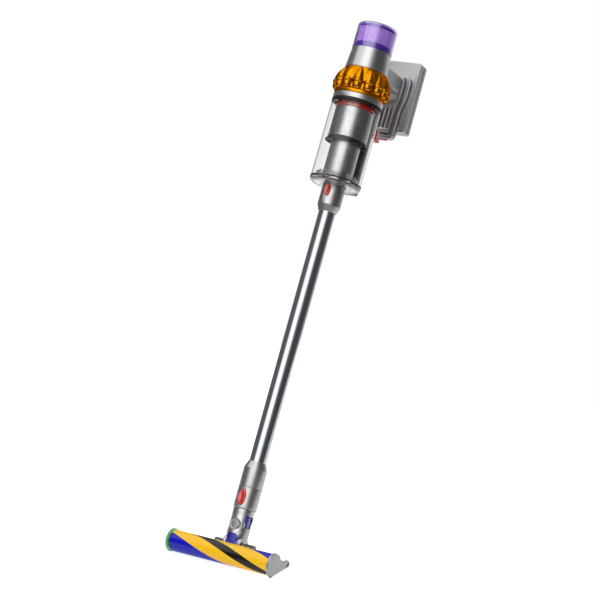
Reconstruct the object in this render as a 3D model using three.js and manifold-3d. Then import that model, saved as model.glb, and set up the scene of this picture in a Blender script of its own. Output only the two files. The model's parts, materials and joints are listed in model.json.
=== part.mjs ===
// Cordless stick vacuum, standing with its floor head flat and its wand leaning back.
// Millimetres, +Z up, +X across the floor head, +Y towards the back. The origin is the grip's middle.
import * as THREE from 'three';
import { mergeVertices } from 'three/addons/utils/BufferGeometryUtils.js';
import Module from 'manifold-3d';

const wasm = await Module();
wasm.setup();

// ---------------------------------------------------------------- driving dimensions

const gap = 0.3; // clearance between pieces that touch
const lean = THREE.MathUtils.degToRad(28.34); // of the wand, back from upright

// The handheld unit, the wand and the neck share one axis. Heights on them are stations along that axis,
// from the point where it meets the foot of the neck; offsets from it are x (across) and y (battery side).
const axisFoot = new THREE.Vector3(0, 54.2, 37.1); // in the floor head's frame
const grip = { y: 108, z: 1111, halfWidth: 20, halfDepth: 22.5, corner: 14, wall: 3 };

const wand = {
  radius: 19.2,
  wall: 1.6,
  bottom: 120,
  top: 806,
  socketFoot: 65.4,
  socketTop: 112.8,
  collarShoulder: 156.9,
  collarTop: 172,
  collarRadius: 26.5,
  adaptorFoot: 752,
  adaptorShoulder: 765.7,
  adaptorTop: 814.5,
  adaptorRadius: 26.3,
  spigotRadius: 21.8,
  spigotTop: 846,
};
const bin = { foot: 826, top: 1001.5, footRadius: 58.8, topRadius: 57.6, wall: 2 };
const lid = { foot: 815, top: 825.7, radius: 59, hole: 22.4 };
const shroud = { foot: 922, top: 991.5, radius: 44.5, wall: 3 };
const collar = { foot: 1010.3, top: 1022, radius: 58.2 };
const cyclones = {
  foot: 1022.3,
  top: 1085.7,
  topRadius: 50,
  domeRadius: 63.5,
  waist: 54, // radius under the cones' lips
  bore: 44,
  count: 14,
  ring: 55, // radius of the circle that the cones stand on
  coneFoot: 1030,
  lipRadius: 12.3,
  lipZ: 1050,
};
const motorCan = { radius: 28, foot: 1062, top: 1112, bore: 3 };
const motorRing = { radius: 41.5, foot: 1092, top: 1099 };
const fan = { radius: 22, hub: 7, nose: 1040, foot: 1044, top: 1060.5, shaft: 2.6, shaftTop: 1108, blades: 7 };
const motorCase = { foot: 1086, top: 1135.7, footRadius: 50, topRadius: 45.3, wall: 3 };
const filter = { foot: 1136, top: 1196.5, radius: 46, wall: 2.4, rimRadius: 34 };
const runner = { halfWidth: 20.5, inner: 60.5, outer: 77, foot: 818, top: 1021 };
const battery = {
  halfWidth: 45,
  foot: 1008,
  top: 1179,
  corner: 6,
  inner: 163, // the slab's face towards the handle
  split: 178, // where its two shells meet
  outer: 195,
  raised: 151, // the raised housing that the handle's foot sits in
  wall: 2.2,
};
const chargingPort = { x: -26, y: 170, radius: 4.2, foot: 1001.5, top: 1010 };
const cell = { radius: 10.6, halfLength: 35, count: 7, pitch: 22, y: 178 };

const head = { halfWidth: 133, capWidth: 7.4, tail: 62, wall: 2.4 };
const roller = { radius: 23.5, sleeve: 2.6, coreWall: 3, halfLength: 124.5 };
const neck = {
  radius: 24.5,
  bore: 14,
  barrelFoot: 52,
  spigotRadius: 21.4,
  spigotTop: 108,
  leanZ: 30, // the pivot of the sideways lean
  cheekRadius: 20.6, // the rounded ends of the upper part's two cheeks
  cheekInner: 16.3, // the cheeks' flat inner faces
  lugRadius: 18.8, // the lower part's lugs, between the cheeks
  lugInner: 12,
  stemTop: 26,
  pitchZ: -12, // the pivot of the fold
  drumRadius: 19.5,
  earInner: 14.3,
  earOuter: 22,
};
const hose = { halfWidth: 20, halfDepth: 11.7, top: 51.6, foot: -6, front: 21.5, drumRadius: 19, pitch: 5.4 };
const wheel = { radius: 6, halfWidth: 3.2, stub: 4.3, x: 66, y: 51 };
const hinge = { from: 27, to: 50, radius: 6.4 }; // the housing's two round bosses beside the neck

// ---------------------------------------------------------------- finishes

const finish = (colour, roughness, metalness) =>
  new THREE.MeshStandardMaterial({ color: colour, roughness, metalness });
const nickel = finish(0x8d8f93, 0.35, 0.6);
const darkMetal = finish(0x44474c, 0.35, 0.8);
const steel = finish(0xb8babd, 0.3, 1);
const wandPaint = finish(0x46494e, 0.3, 0.7);
const gold = finish(0xd98a0c, 0.3, 0.6);
const purple = finish(0x7a2fd0, 0.2, 0);
const red = finish(0xbe0a0a, 0.3, 0);
const black = finish(0x141416, 0.5, 0);
const rubber = finish(0x1b1b1d, 0.85, 0);
const clear = finish(0xdfe3e6, 0.08, 0);
const blue = finish(0x1414b4, 0.6, 0);
const green = finish(0x3c6e3c, 0.2, 0);
const capGrey = finish(0xa9abae, 0.4, 0.2);
const board = finish(0x14532d, 0.6, 0);
const copper = finish(0xb87333, 0.35, 0.9);
const paper = finish(0xe8e6ee, 0.9, 0);

// ---------------------------------------------------------------- geometry helpers

const X = new THREE.Vector3(1, 0, 0);
const Y = new THREE.Vector3(0, 1, 0);
const Z = new THREE.Vector3(0, 0, 1);

// One closed mesh with shared vertices, no collapsed triangles and its faces pointing out.
function closed(geometry) {
  const bare = geometry.index ? geometry.toNonIndexed() : geometry.clone();
  bare.deleteAttribute('normal');
  bare.deleteAttribute('uv');
  const merged = mergeVertices(bare, 1e-4);
  const at = merged.index.array;
  const corner = (i) => new THREE.Vector3().fromBufferAttribute(merged.attributes.position, i);
  const kept = [];
  let volume = 0;
  for (let i = 0; i < at.length; i += 3) {
    const [a, b, c] = [at[i], at[i + 1], at[i + 2]];
    if (a === b || b === c || c === a) continue;
    kept.push(a, b, c);
    volume += corner(a).dot(corner(b).cross(corner(c)));
  }
  merged.setIndex(volume < 0 ? kept.reverse() : kept);
  return merged;
}

function toManifold(geometry) {
  const body = closed(geometry);
  const vertProperties = Float32Array.from(body.attributes.position.array);
  const triVerts = Uint32Array.from(body.index.array);
  return new wasm.Manifold(new wasm.Mesh({ numProp: 3, vertProperties, triVerts }));
}

function fromManifold(solid) {
  const mesh = solid.getMesh();
  const geometry = new THREE.BufferGeometry();
  geometry.setAttribute('position', new THREE.BufferAttribute(mesh.vertProperties, 3));
  geometry.setIndex(new THREE.BufferAttribute(mesh.triVerts, 1));
  return geometry;
}

function join(...geometries) {
  const [first, ...rest] = geometries.map(toManifold);
  return fromManifold(rest.reduce((sum, next) => sum.add(next), first));
}

function cut(geometry, ...tools) {
  const left = tools.map(toManifold).reduce((rest, tool) => rest.subtract(tool), toManifold(geometry));
  return fromManifold(left);
}

function common(geometry, tool) {
  return fromManifold(toManifold(geometry).intersect(toManifold(tool)));
}

// A turned piece about the Z axis from [radius, z] pairs; a profile that misses the axis closes on itself.
function turned(profile, segments = 28) {
  const points = profile.map(([radius, z]) => new THREE.Vector2(radius, z));
  if (profile[0][0] > 0 || profile.at(-1)[0] > 0) points.push(points[0].clone());
  return new THREE.LatheGeometry(points, segments).rotateX(Math.PI / 2);
}

// A plain tube about the Z axis.
function tube(outer, inner, from, to, segments = 28) {
  return turned([[outer, from], [outer, to], [inner, to], [inner, from]], segments);
}

// An outline pushed along an axis. Its two coordinates are (y, z) along x, (x, z) along y and (x, y) along z.
function prism(axis, shape, from, to, curveSegments = 3) {
  const geometry = new THREE.ExtrudeGeometry(shape, { depth: to - from, bevelEnabled: false, curveSegments });
  geometry.translate(0, 0, axis === 'y' ? -to : from);
  if (axis === 'x') geometry.applyMatrix4(new THREE.Matrix4().makeBasis(Y, Z, X));
  if (axis === 'y') geometry.applyMatrix4(new THREE.Matrix4().makeBasis(X, Z, Y.clone().negate()));
  return geometry;
}

function circle(radius, u = 0, v = 0) {
  return new THREE.Shape().absarc(u, v, radius, 0, 2 * Math.PI, false);
}

function polygon(points) {
  return new THREE.Shape(points.map(([u, v]) => new THREE.Vector2(u, v)));
}

function roundedRect(width, height, radius, u = 0, v = 0) {
  const [w, h] = [width / 2 - radius, height / 2 - radius];
  const shape = new THREE.Shape();
  shape.absarc(u + w, v - h, radius, -Math.PI / 2, 0, false);
  shape.absarc(u + w, v + h, radius, 0, Math.PI / 2, false);
  shape.absarc(u - w, v + h, radius, Math.PI / 2, Math.PI, false);
  shape.absarc(u - w, v - h, radius, Math.PI, 1.5 * Math.PI, false);
  return shape;
}

// A mirrored outline from its right half, given from the bottom up as [x, z] pairs.
function symmetric(half) {
  const left = half.filter(([u]) => u > 0).map(([u, v]) => [-u, v]).reverse();
  return polygon([...half, ...left]);
}

function rod(axis, radius, from, to, u = 0, v = 0, segments = 16) {
  return prism(axis, circle(radius, u, v), from, to, segments / 2);
}

function box(x0, x1, y0, y1, z0, z1) {
  const block = new THREE.BoxGeometry(x1 - x0, y1 - y0, z1 - z0);
  return block.translate((x0 + x1) / 2, (y0 + y1) / 2, (z0 + z1) / 2);
}

// A coil spring along Z.
class Helix extends THREE.Curve {
  constructor(radius, length, turns) {
    super();
    Object.assign(this, { radius, length, turns });
  }

  getPoint(t, target = new THREE.Vector3()) {
    const angle = 2 * Math.PI * this.turns * t;
    return target.set(this.radius * Math.cos(angle), this.radius * Math.sin(angle), this.length * t);
  }
}

function spring(radius, wire, length, turns) {
  const extrudePath = new Helix(radius, length, turns);
  return new THREE.ExtrudeGeometry(circle(wire / 2), { steps: turns * 8, curveSegments: 2, extrudePath });
}

// ---------------------------------------------------------------- groups

const vacuum = new THREE.Group();
const machine = new THREE.Group(); // the leaning axis: z is the station, y the battery side
const floorHead = new THREE.Group(); // flat on the floor: z is the height, y = 0 on the roller's axis
const gripOffset = new THREE.Vector3(0, grip.y, grip.z).applyAxisAngle(X, -lean);
machine.rotation.x = -lean;
machine.position.copy(gripOffset).negate();
floorHead.position.copy(machine.position).sub(axisFoot);
vacuum.add(machine, floorHead);

const sides = [[-1, 'left'], [1, 'right']];

function add(group, name, geometry, material) {
  const mesh = new THREE.Mesh(closed(geometry), material);
  mesh.name = name;
  group.add(mesh);
}

// ---------------------------------------------------------------- cyclones, motor and filter

function cyclonePack() {
  const { foot, top, topRadius, domeRadius, waist, bore, count, ring, coneFoot, lipRadius, lipZ } = cyclones;
  const dome = [[domeRadius, lipZ + 2], [domeRadius - 1.5, lipZ + 10], [domeRadius - 6, lipZ + 21],
    [topRadius, top]];
  const flange = [[bore - 1, foot], [57.6, foot], [58.8, foot + 7], [waist + 1, foot + 10], [waist, lipZ]];
  const body = turned([...flange, ...dome, [bore - 1, top]], 42);
  const cone = turned([[0, coneFoot], [6.5, coneFoot], [9, lipZ - 5], [lipRadius, lipZ - 2],
    [lipRadius, lipZ + 2], [0, lipZ + 4]], 8).translate(0, ring, 0);
  const groove = new THREE.CylinderGeometry(0.8, 7, 36, 5).rotateX(Math.PI / 2).rotateX(0.35)
    .translate(0, domeRadius - 1, lipZ + 21);
  const around = (shape, i) => shape.clone().rotateZ((2 * Math.PI * i) / count);
  const turns = [...Array(count).keys()];
  const cones = turns.map((i) => around(cone, i));
  const grooves = turns.map((i) => around(groove, i));
  return cut(join(cut(body, ...grooves), ...cones), rod('z', bore, foot - 5, top + 5, 0, 0, 20));
}

function motorHousing() {
  const { foot, top, footRadius, topRadius, wall } = motorCase;
  return turned([[footRadius, foot], [footRadius, foot + 2], [topRadius, top], [topRadius - wall, top],
    [footRadius - wall, foot + 2], [footRadius - wall, foot]]);
}

function motor() {
  const { radius, foot, top, bore } = motorCan;
  const body = turned([[bore, foot], [radius - 6, foot], [radius, foot + 6], [radius, top - 8],
    [radius - 8, top], [bore, top]], 20);
  const slots = [0, 1, 2, 3, 4, 5].map((i) =>
    box(-3, 3, radius - 4, radius + 2, foot + 12, top - 14).rotateZ((Math.PI * i) / 3));
  return cut(body, ...slots);
}

function impeller() {
  const { radius, hub, shaft, nose, foot, top, shaftTop, blades } = fan;
  const cone = turned([[0, nose], [hub, nose + 6], [radius, top - 2.5], [radius, top], [shaft, top],
    [shaft, shaftTop], [0, shaftTop]], 20);
  const blade = box(-0.8, 0.8, 3, radius - 1, foot, top - 1.5);
  const envelope = turned([[0, nose - 2], [hub + 1, nose + 2], [radius, nose + 12], [radius, top],
    [0, top]], 20);
  const fanned = [...Array(blades).keys()].map((i) => blade.clone().rotateZ((2 * Math.PI * i) / blades));
  return join(cone, common(join(...fanned), envelope));
}

function motorMount() {
  const { radius, foot, top } = motorRing;
  const inner = motorCan.radius + gap;
  const vents = [0, 1, 2].map((i) =>
    box(-6, 6, inner + 4, inner + 10, foot - 2, top + 2).rotateZ((2 * Math.PI * i) / 3));
  return cut(tube(radius, inner, foot, top, 24), ...vents);
}

function filterShell() {
  const { foot, top, radius, wall, rimRadius } = filter;
  const round = 8; // radius of the shell's upper edge
  const arc = [0, 45, 90].map((degrees) => {
    const angle = THREE.MathUtils.degToRad(degrees);
    return [radius - round + round * Math.cos(angle), top - round + round * Math.sin(angle)];
  });
  const body = turned([[radius, foot], ...arc, [rimRadius, top], [rimRadius, top - wall],
    [radius - round, top - wall], [radius - wall, top - round], [radius - wall, foot]], 40);
  const slot = box(-11, 11, radius - 6, radius + 4, foot + 12, foot + 13.6);
  // Four short exhaust slots one above another, on both sides.
  const slots = [0, 1, 2, 3].flatMap((i) => [-1, 1].map((side) =>
    slot.clone().translate(0, 0, 5 * i).rotateZ(side * 2.3 - Math.PI / 2)));
  return cut(body, ...slots);
}

function filterMedia() {
  const pleats = 28;
  const shape = new THREE.Shape();
  for (let i = 0; i < 2 * pleats; i += 1) {
    const angle = (Math.PI * i) / pleats;
    const radius = filter.radius - (i % 2 ? 10.5 : 3.5);
    shape[i ? 'lineTo' : 'moveTo'](radius * Math.cos(angle), radius * Math.sin(angle));
  }
  const core = rod('z', filter.rimRadius, filter.foot, filter.top, 0, 0, 24);
  return cut(prism('z', shape, filter.foot + 2, filter.top - 11), core);
}

const screen = { radius: 20, y: -6, depth: 1.6 };
const menuButton = { radius: 4.6, y: 22 };

function displayHousing() {
  const { rimRadius, top } = filter;
  const foot = filter.foot + 1;
  const cup = turned([[rimRadius - gap, foot], [rimRadius - gap, top - 0.2], [0, top - 0.2], [0, top - 9],
    [rimRadius - 3, top - 9], [rimRadius - 3, foot]], 32);
  return cut(cup, rod('z', screen.radius + gap, top - screen.depth - 0.4, top + 2, 0, screen.y, 28),
    rod('z', menuButton.radius + gap, top - 12, top + 2, 0, menuButton.y, 12));
}

add(machine, 'cyclone_pack', cyclonePack(), gold);
add(machine, 'motor_housing', motorHousing(), nickel);
add(machine, 'motor', motor(), darkMetal);
add(machine, 'impeller', impeller(), steel);
add(machine, 'motor_mount', motorMount(), rubber);
add(machine, 'filter_shell', filterShell(), purple);
add(machine, 'filter_media', filterMedia(), paper);
add(machine, 'display_housing', displayHousing(), black);
add(machine, 'display_screen',
  rod('z', screen.radius, filter.top - screen.depth, filter.top - 0.3, 0, screen.y, 28), black);
add(machine, 'menu_button',
  rod('z', menuButton.radius, filter.top - 7, filter.top, 0, menuButton.y, 12), nickel);

// ---------------------------------------------------------------- dust bin and shroud

function binLid() {
  const { foot, top, radius, hole } = lid;
  const disc = turned([[hole, foot], [radius - 7, foot], [radius - 0.6, foot + 2.6], [radius, top - 3],
    [hole + 3.2, top - 3], [hole + 3.2, top + 20], [hole, top + 20]], 36);
  const ribs = [0, 1, 2, 3, 4, 5].map((i) =>
    box(-1, 1, hole + 2, hole + 8, top - 4, top + 8).rotateZ((Math.PI * i) / 3 + 0.5));
  return join(disc, ...ribs);
}

function binWall() {
  const { foot, top, footRadius, topRadius, wall } = bin;
  const profile = [[footRadius, foot], [topRadius, top], [topRadius - wall, top], [footRadius - wall, foot]];
  return turned(profile, 40);
}

function wiperSkirt() {
  const { foot, radius } = shroud;
  return turned([[radius, foot - gap], [49.5, foot - 8], [48.3, foot - 9], [radius - 1.5, foot - 4.6],
    [34.3, foot - 4.6], [34.3, foot - gap]]);
}

function cycloneCollar() {
  const { foot, top, radius } = collar;
  return turned([[radius, foot], [radius, top], [42, top], [42, foot - 6], [50, foot - 6], [50, foot]]);
}

function binRunner() {
  const { halfWidth, inner, outer, foot, top } = runner;
  const rail = prism('y', roundedRect(2 * halfWidth, top - foot, 4, 0, (top + foot) / 2), inner, outer);
  const pocket = box(-halfWidth + 3, halfWidth - 3, outer - 8, outer + 5, 930, 990);
  const toCollar = box(-halfWidth, halfWidth, 54, inner + 3, collar.foot + 1, runner.top - 0.5);
  return cut(join(cut(rail, pocket), toCollar), rod('z', collar.radius + gap, 1000, 1030, 0, 0, 32));
}

const binCatch = { halfWidth: 25, foot: 953, top: 981, back: 78, front: 100 };

// The red bin catch: a ribbed thumb pad with a stem that slides in the runner.
function catchPad() {
  const { halfWidth, foot, top, back, front } = binCatch;
  const side = polygon([[back, foot + 3], [front - 10, foot], [front, foot + 3], [front, foot + 8],
    [front - 8, top - 6], [front - 14, top], [back, top]]);
  const grips = [0, 1, 2].map((i) =>
    box(3 - halfWidth, halfWidth - 3, front - 4 - 2.4 * i, front + 2, foot + 9 + 5 * i, foot + 10.6 + 5 * i));
  const stem = box(-8, 8, runner.outer - 6.5, back + 1, 962, 976);
  return join(cut(prism('x', side, -halfWidth, halfWidth), ...grips), stem);
}

add(machine, 'bin', binWall(), clear);
add(machine, 'bin_lid', binLid(), clear);
add(machine, 'lid_seal', tube(lid.radius, 49, lid.top - 3 + gap, bin.foot - gap, 36), rubber);
add(machine, 'inner_tube', tube(34, 31, lid.top + 1.5, shroud.foot - 5), darkMetal);
add(machine, 'shroud', tube(shroud.radius, shroud.radius - shroud.wall, shroud.foot, shroud.top), nickel);
add(machine, 'shroud_ring', tube(45.6, 41, shroud.top + gap, collar.foot - 6 - gap), red);
add(machine, 'wiper_skirt', wiperSkirt(), rubber);
add(machine, 'cyclone_collar', cycloneCollar(), nickel);
add(machine, 'bin_seal', turned([[collar.radius, 1003], [collar.radius, collar.foot - gap], [50 + gap, 1010],
  [50 + gap, 1002.6], [bin.topRadius - 2, bin.top + gap], [bin.topRadius, bin.top + gap]]), rubber);
add(machine, 'bin_runner', binRunner(), black);
add(machine, 'bin_catch', catchPad(), red);
add(machine, 'catch_spring', spring(2.6, 0.9, 15, 4).translate(0, 72.4, 945), steel);

// ---------------------------------------------------------------- handle

// Right halves of the handle's foot and of the pocket it sits in.
const footOutline = [[0, 998], [13, 998], [16, 1001], [18, 1062], [24, 1084], [24, 1124], [18, 1134],
  [0, 1134]];
const pocketOutline = [[0, 996.6], [13.6, 996.6], [17.4, 1000.4], [19.4, 1061.6], [25.4, 1083.6],
  [25.4, 1124.6], [18.6, 1135.4], [0, 1135.4]];
const trigger = { halfWidth: 8, from: 66, to: 92, face: 1079, back: 1098, springTop: 1108.6 };

function handleShell() {
  const { halfWidth, halfDepth, corner, wall } = grip;
  const column = (inset, from, to) => prism('y',
    roundedRect(2 * (halfWidth - inset), 2 * (halfDepth - inset), corner - inset, 0, grip.z), from, to);
  const saddle = prism('y', roundedRect(50, 44, 12, 0, 1111.5), 30, 60);
  const foot = prism('y', symmetric(footOutline), battery.raised - 9, battery.raised + 10);
  const shell = join(saddle, column(0, 55, battery.raised), foot);
  const hollow = join(column(wall, 52, battery.raised + 12),
    prism('y', roundedRect(22, 60, 4, 0, 1040), battery.raised - 6, battery.raised + 12));
  const grooves = [-10.5, 0, 10.5].map((x) =>
    prism('y', roundedRect(5, 52, 2.4, x, 1034), battery.raised - 14, battery.raised - 7.5));
  const springPost = box(-4, 4, 80, 88, trigger.springTop, grip.z + grip.halfDepth - 1);
  const slotHalf = trigger.halfWidth + gap;
  const triggerSlot = box(-slotHalf, slotHalf, trigger.from - gap, trigger.to + gap, 1080, 1094);
  const [caseFoot, caseTop] = [motorCase.footRadius + gap, motorCase.topRadius + gap];
  const caseBore = turned([[0, 1060], [caseFoot, 1060], [caseFoot, 1088.3],
    [caseTop, motorCase.top + 0.2], [0, motorCase.top + 0.2]]);
  return join(cut(shell, caseBore, hollow, triggerSlot, ...grooves), springPost);
}

function triggerLever() {
  const { halfWidth, from, to, face, back } = trigger;
  const side = new THREE.Shape();
  side.moveTo(from, back);
  side.lineTo(from, face + 3);
  side.quadraticCurveTo((from + to) / 2, face - 1.5, to, face - 3);
  side.lineTo(to, back);
  return prism('x', side, -halfWidth, halfWidth);
}

add(machine, 'handle_shell', handleShell(), nickel);
add(machine, 'trigger', triggerLever(), red);
add(machine, 'trigger_spring', spring(3, 0.9, 8.8, 3).translate(0, 84, trigger.back + 0.8), steel);
add(machine, 'trigger_switch', box(-6, 6, 66, 78, 1103, 1113), black);
add(machine, 'control_board', box(-14, 14, 96, 141, 1112, 1113.6), board);

// ---------------------------------------------------------------- battery

const raisedOutline = [[0, 985], [20, 985], [27, 992], [29, 1062], [36, 1086], [36, 1128], [28, 1140],
  [0, 1140]];

function batterySlab(inset, from, to) {
  const { halfWidth, foot, top } = battery;
  const [width, height] = [2 * (halfWidth - inset), top - foot - 2 * inset];
  const outline = roundedRect(width, height, battery.corner - inset, 0, (foot + top) / 2);
  return prism('y', outline, from, to);
}

function batteryCase() {
  const { inner, split, raised, wall } = battery;
  const step = prism('y', symmetric(raisedOutline), raised, inner + 8);
  const shell = join(batterySlab(0, inner, split - gap), step);
  const pocket = prism('y', symmetric(pocketOutline), raised - 3, raised + 11);
  const tray = batterySlab(wall, inner + wall, split + 5);
  const release = box(-11, 11, 156, 163, 980, 994);
  const { x, y, radius, foot, top } = chargingPort;
  const port = rod('z', radius + gap, foot - 2, top + 2, x, y, 16);
  return cut(shell, pocket, tray, release, port);
}

function batteryCover() {
  const { outer, split, wall } = battery;
  const bevel = 3;
  const shell = join(batterySlab(0, split, outer - bevel), batterySlab(bevel, outer - bevel - 0.01, outer));
  return cut(shell, batterySlab(wall, split - 5, outer - wall - 1));
}

function cells() {
  const first = (battery.foot + battery.top) / 2 - (cell.pitch * (cell.count - 1)) / 2;
  const last = first + cell.pitch * (cell.count - 1);
  const cans = [...Array(cell.count).keys()].map((i) =>
    rod('x', cell.radius, -cell.halfLength, cell.halfLength, cell.y, first + cell.pitch * i, 16));
  const holder = box(-cell.halfLength + 4, cell.halfLength - 4, cell.y - 3, cell.y + 3, first, last);
  return join(...cans, holder);
}

function portSocket() {
  const { x, y, radius, foot, top } = chargingPort;
  return cut(rod('z', radius, foot, top, x, y, 16), rod('z', 2.4, foot - 2, top - 3, x, y, 12));
}

add(machine, 'battery_case', batteryCase(), nickel);
add(machine, 'battery_cover', batteryCover(), nickel);
add(machine, 'battery_cells', cells(), blue);
add(machine, 'battery_release',
  join(box(-10.6, 10.6, 156.4, 162.6, 982, 987), box(-4, 4, 158, 161, 986, 991)), red);
for (const [side, word] of sides) {
  add(machine, `battery_screw_${word}`,
    rod('y', 2.4, battery.raised - 1.2, battery.raised - gap, side * 31, 1112, 12), darkMetal);
}
add(machine, 'charging_port', portSocket(), black);

// ---------------------------------------------------------------- wand

const upperButton = { z: 799, halfWidth: 7.5, halfHeight: 14.5, face: -29.5, back: -22.3 };
const lowerButton = { z: 89, halfWidth: 9, halfHeight: 17.5, face: -29.5, back: -23.6 };
const buttonCrown = 60; // radius of a button's rounded face, from top to bottom

// An oval bar across the wand's front wall: a release button, or with another size the opening it slides in.
function buttonOval({ z, halfWidth, halfHeight }, from, to, grow = 0) {
  const outline = roundedRect(2 * (halfWidth + grow), 2 * (halfHeight + grow), halfWidth + grow, 0, z);
  return prism('y', outline, from, to, 5);
}

function buttonOpening(button) {
  return buttonOval(button, -wand.collarRadius - 5, -wand.radius + 5, gap);
}

function wandAdaptor() {
  const bore = wand.radius + gap;
  const body = turned([[bore, wand.adaptorFoot], [20.2, wand.adaptorFoot], [25.8, wand.adaptorShoulder - 1],
    [wand.adaptorRadius, wand.adaptorShoulder + 1], [wand.adaptorRadius, wand.adaptorTop],
    [wand.spigotRadius, wand.adaptorTop], [wand.spigotRadius, wand.spigotTop], [bore, wand.spigotTop]]);
  return cut(body, buttonOpening(upperButton));
}

function wandSocket() {
  const body = tube(wand.collarRadius, 22, wand.socketFoot, wand.socketTop);
  return cut(body, buttonOpening(lowerButton));
}

function wandCollar() {
  const bore = wand.radius + gap;
  const foot = wand.socketTop + gap;
  return turned([[wand.collarRadius, foot], [wand.collarRadius, wand.collarShoulder], [20.2, wand.collarTop],
    [bore, wand.collarTop], [bore, foot]]);
}

add(machine, 'wand_adaptor', wandAdaptor(), nickel);
add(machine, 'wand_tube', tube(wand.radius, wand.radius - wand.wall, wand.bottom, wand.top), wandPaint);
add(machine, 'wand_collar', wandCollar(), nickel);
add(machine, 'wand_socket', wandSocket(), nickel);

function releaseButton(button) {
  const blank = buttonOval(button, button.face, button.back);
  return common(blank, rod('x', buttonCrown, -20, 20, button.face + 0.1 + buttonCrown, button.z, 72));
}

add(machine, 'upper_button', releaseButton(upperButton), red);
add(machine, 'lower_button', releaseButton(lowerButton), red);

// ---------------------------------------------------------------- neck

// A round cap and pin on each side of the neck, on the axis it leans about.
const pivot = { capRadius: 12.6, dishRadius: 10.2, proud: 0.9, pin: 4, seat: 3.5 };

const alongNeckAxis = (radius, from, to, segments = 16) =>
  rod('y', radius, from, to, 0, neck.leanZ, segments);

// The upper part: a barrel that plugs into the wand, with a round-ended cheek down its front and its back.
function neckUpper() {
  const { radius, bore, barrelFoot, spigotRadius, spigotTop, leanZ, cheekRadius, cheekInner } = neck;
  const shoulder = wand.socketFoot - gap;
  const barrel = turned([[bore, barrelFoot], [radius, barrelFoot], [radius, shoulder],
    [spigotRadius, shoulder], [spigotRadius, spigotTop - 8], [spigotRadius - 2.4, spigotTop - 7],
    [spigotRadius - 2.4, spigotTop], [bore, spigotTop]], 24);
  const skin = rod('z', radius, 0, barrelFoot + 2, 0, 0, 24);
  const outline = join(alongNeckAxis(cheekRadius, -30, 30, 24),
    box(-cheekRadius, cheekRadius, -30, 30, leanZ, barrelFoot + 2));
  const between = box(-30, 30, -cheekInner, cheekInner, 0, barrelFoot);
  const cheeks = cut(common(skin, outline), between);
  return cut(join(barrel, cheeks), rod('z', bore, 0, spigotTop + 5, 0, 0, 16),
    alongNeckAxis(pivot.pin + gap, -30, 30), pivotSeat(-1), pivotSeat(1));
}

// The outline of the arched opening at the foot of the neck's front.
function archOutline(inset = 0) {
  const half = neck.earInner - inset;
  return symmetric([[0, -30], [half, -30], [half, 1 - inset], [half - 4.3, 6.4 - inset],
    [half - 9, 9 - inset], [0, 9 - inset]]);
}

// The lower part: a stem with two lugs between the cheeks, an arch in front and two ears for the fold's pins.
function neckLower() {
  const { radius, leanZ, cheekRadius, cheekInner, lugRadius, lugInner, stemTop } = neck;
  const { pitchZ, drumRadius, earInner, earOuter } = neck;
  const stem = turned([[0, -8], [19, -8], [22, -4], [radius, 4], [radius, stemTop], [0, stemTop]], 24);
  const drum = rod('x', drumRadius, -earOuter, earOuter, 0, pitchZ, 20);
  const lugs = join(alongNeckAxis(lugRadius, -cheekInner + gap, cheekInner - gap, 20),
    box(-lugRadius, lugRadius, -cheekInner + gap, cheekInner - gap, stemTop - 4, leanZ));
  const cheekRoom = [[-30, -cheekInner + gap], [cheekInner - gap, 30]].map(([from, to]) =>
    alongNeckAxis(cheekRadius + gap, from, to, 24));
  const hoseRoom = box(-hose.halfWidth - gap, hose.halfWidth + gap, -lugInner, lugInner, -50, 60);
  const drumRoom = join(box(-earInner, earInner, -30, 30, -50, -4),
    rod('x', hose.drumRadius + gap, -earInner, earInner, 0, pitchZ, 24));
  const arch = prism('y', archOutline(), -30, -lugInner + 1);
  return cut(join(stem, drum, lugs), ...cheekRoom, hoseRoom, drumRoom, arch,
    alongNeckAxis(pivot.pin + gap, -30, 30), rod('x', 5.3, -40, 40, 0, pitchZ));
}

// The blue ribbed air hose, seen through the arch and at both sides; it bends with the neck.
function neckHose() {
  const { halfWidth, halfDepth, top, foot, front, drumRadius, pitch } = hose;
  const half = neck.earInner - gap;
  const section = prism('z', roundedRect(2 * halfWidth, 2 * halfDepth, 6), foot, top);
  const bulge = common(rod('z', front, foot, 20, 0, 0, 32), prism('y', archOutline(gap), -30, 0));
  const drum = rod('x', drumRadius, -half, half, 0, neck.pitchZ, 24);
  const ribs = [...Array(9).keys()].flatMap((i) => [-1, 1].map((side) =>
    box(side * 18.6, side * 25, -15, 15, 6 + pitch * i, 8.4 + pitch * i)));
  const frontRibs = [0, 1].map((i) => box(-20, 20, -30, -front + 1.6, -1.2 + pitch * i, 0.8 + pitch * i));
  return cut(join(section, bulge, drum), ...ribs, ...frontRibs, rod('z', 9, -60, 60, 0, 0, 16));
}

function pivotCap(side) {
  const face = neck.radius + pivot.proud;
  const pin = alongNeckAxis(pivot.pin, neck.lugInner + gap, face, 12);
  const flange = alongNeckAxis(pivot.capRadius, neck.radius - pivot.seat, face, 20);
  const dish = alongNeckAxis(pivot.dishRadius, face - 0.8, face + 1);
  return cut(join(pin, flange), dish).rotateZ(side > 0 ? 0 : Math.PI);
}

function pivotSeat(side) {
  return alongNeckAxis(pivot.capRadius + gap, neck.radius - pivot.seat - gap, neck.radius + 5, 20)
    .rotateZ(side > 0 ? 0 : Math.PI);
}

add(machine, 'neck_upper', neckUpper(), nickel);
add(machine, 'neck_lower', neckLower(), nickel);
add(machine, 'neck_hose', neckHose(), blue);
add(machine, 'pivot_cap_front', pivotCap(-1), nickel);
add(machine, 'pivot_cap_back', pivotCap(1), nickel);

// ---------------------------------------------------------------- floor head

const rollerZ = roller.radius;
const chamber = roller.radius + 2; // radius of the wall behind the roller

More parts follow.
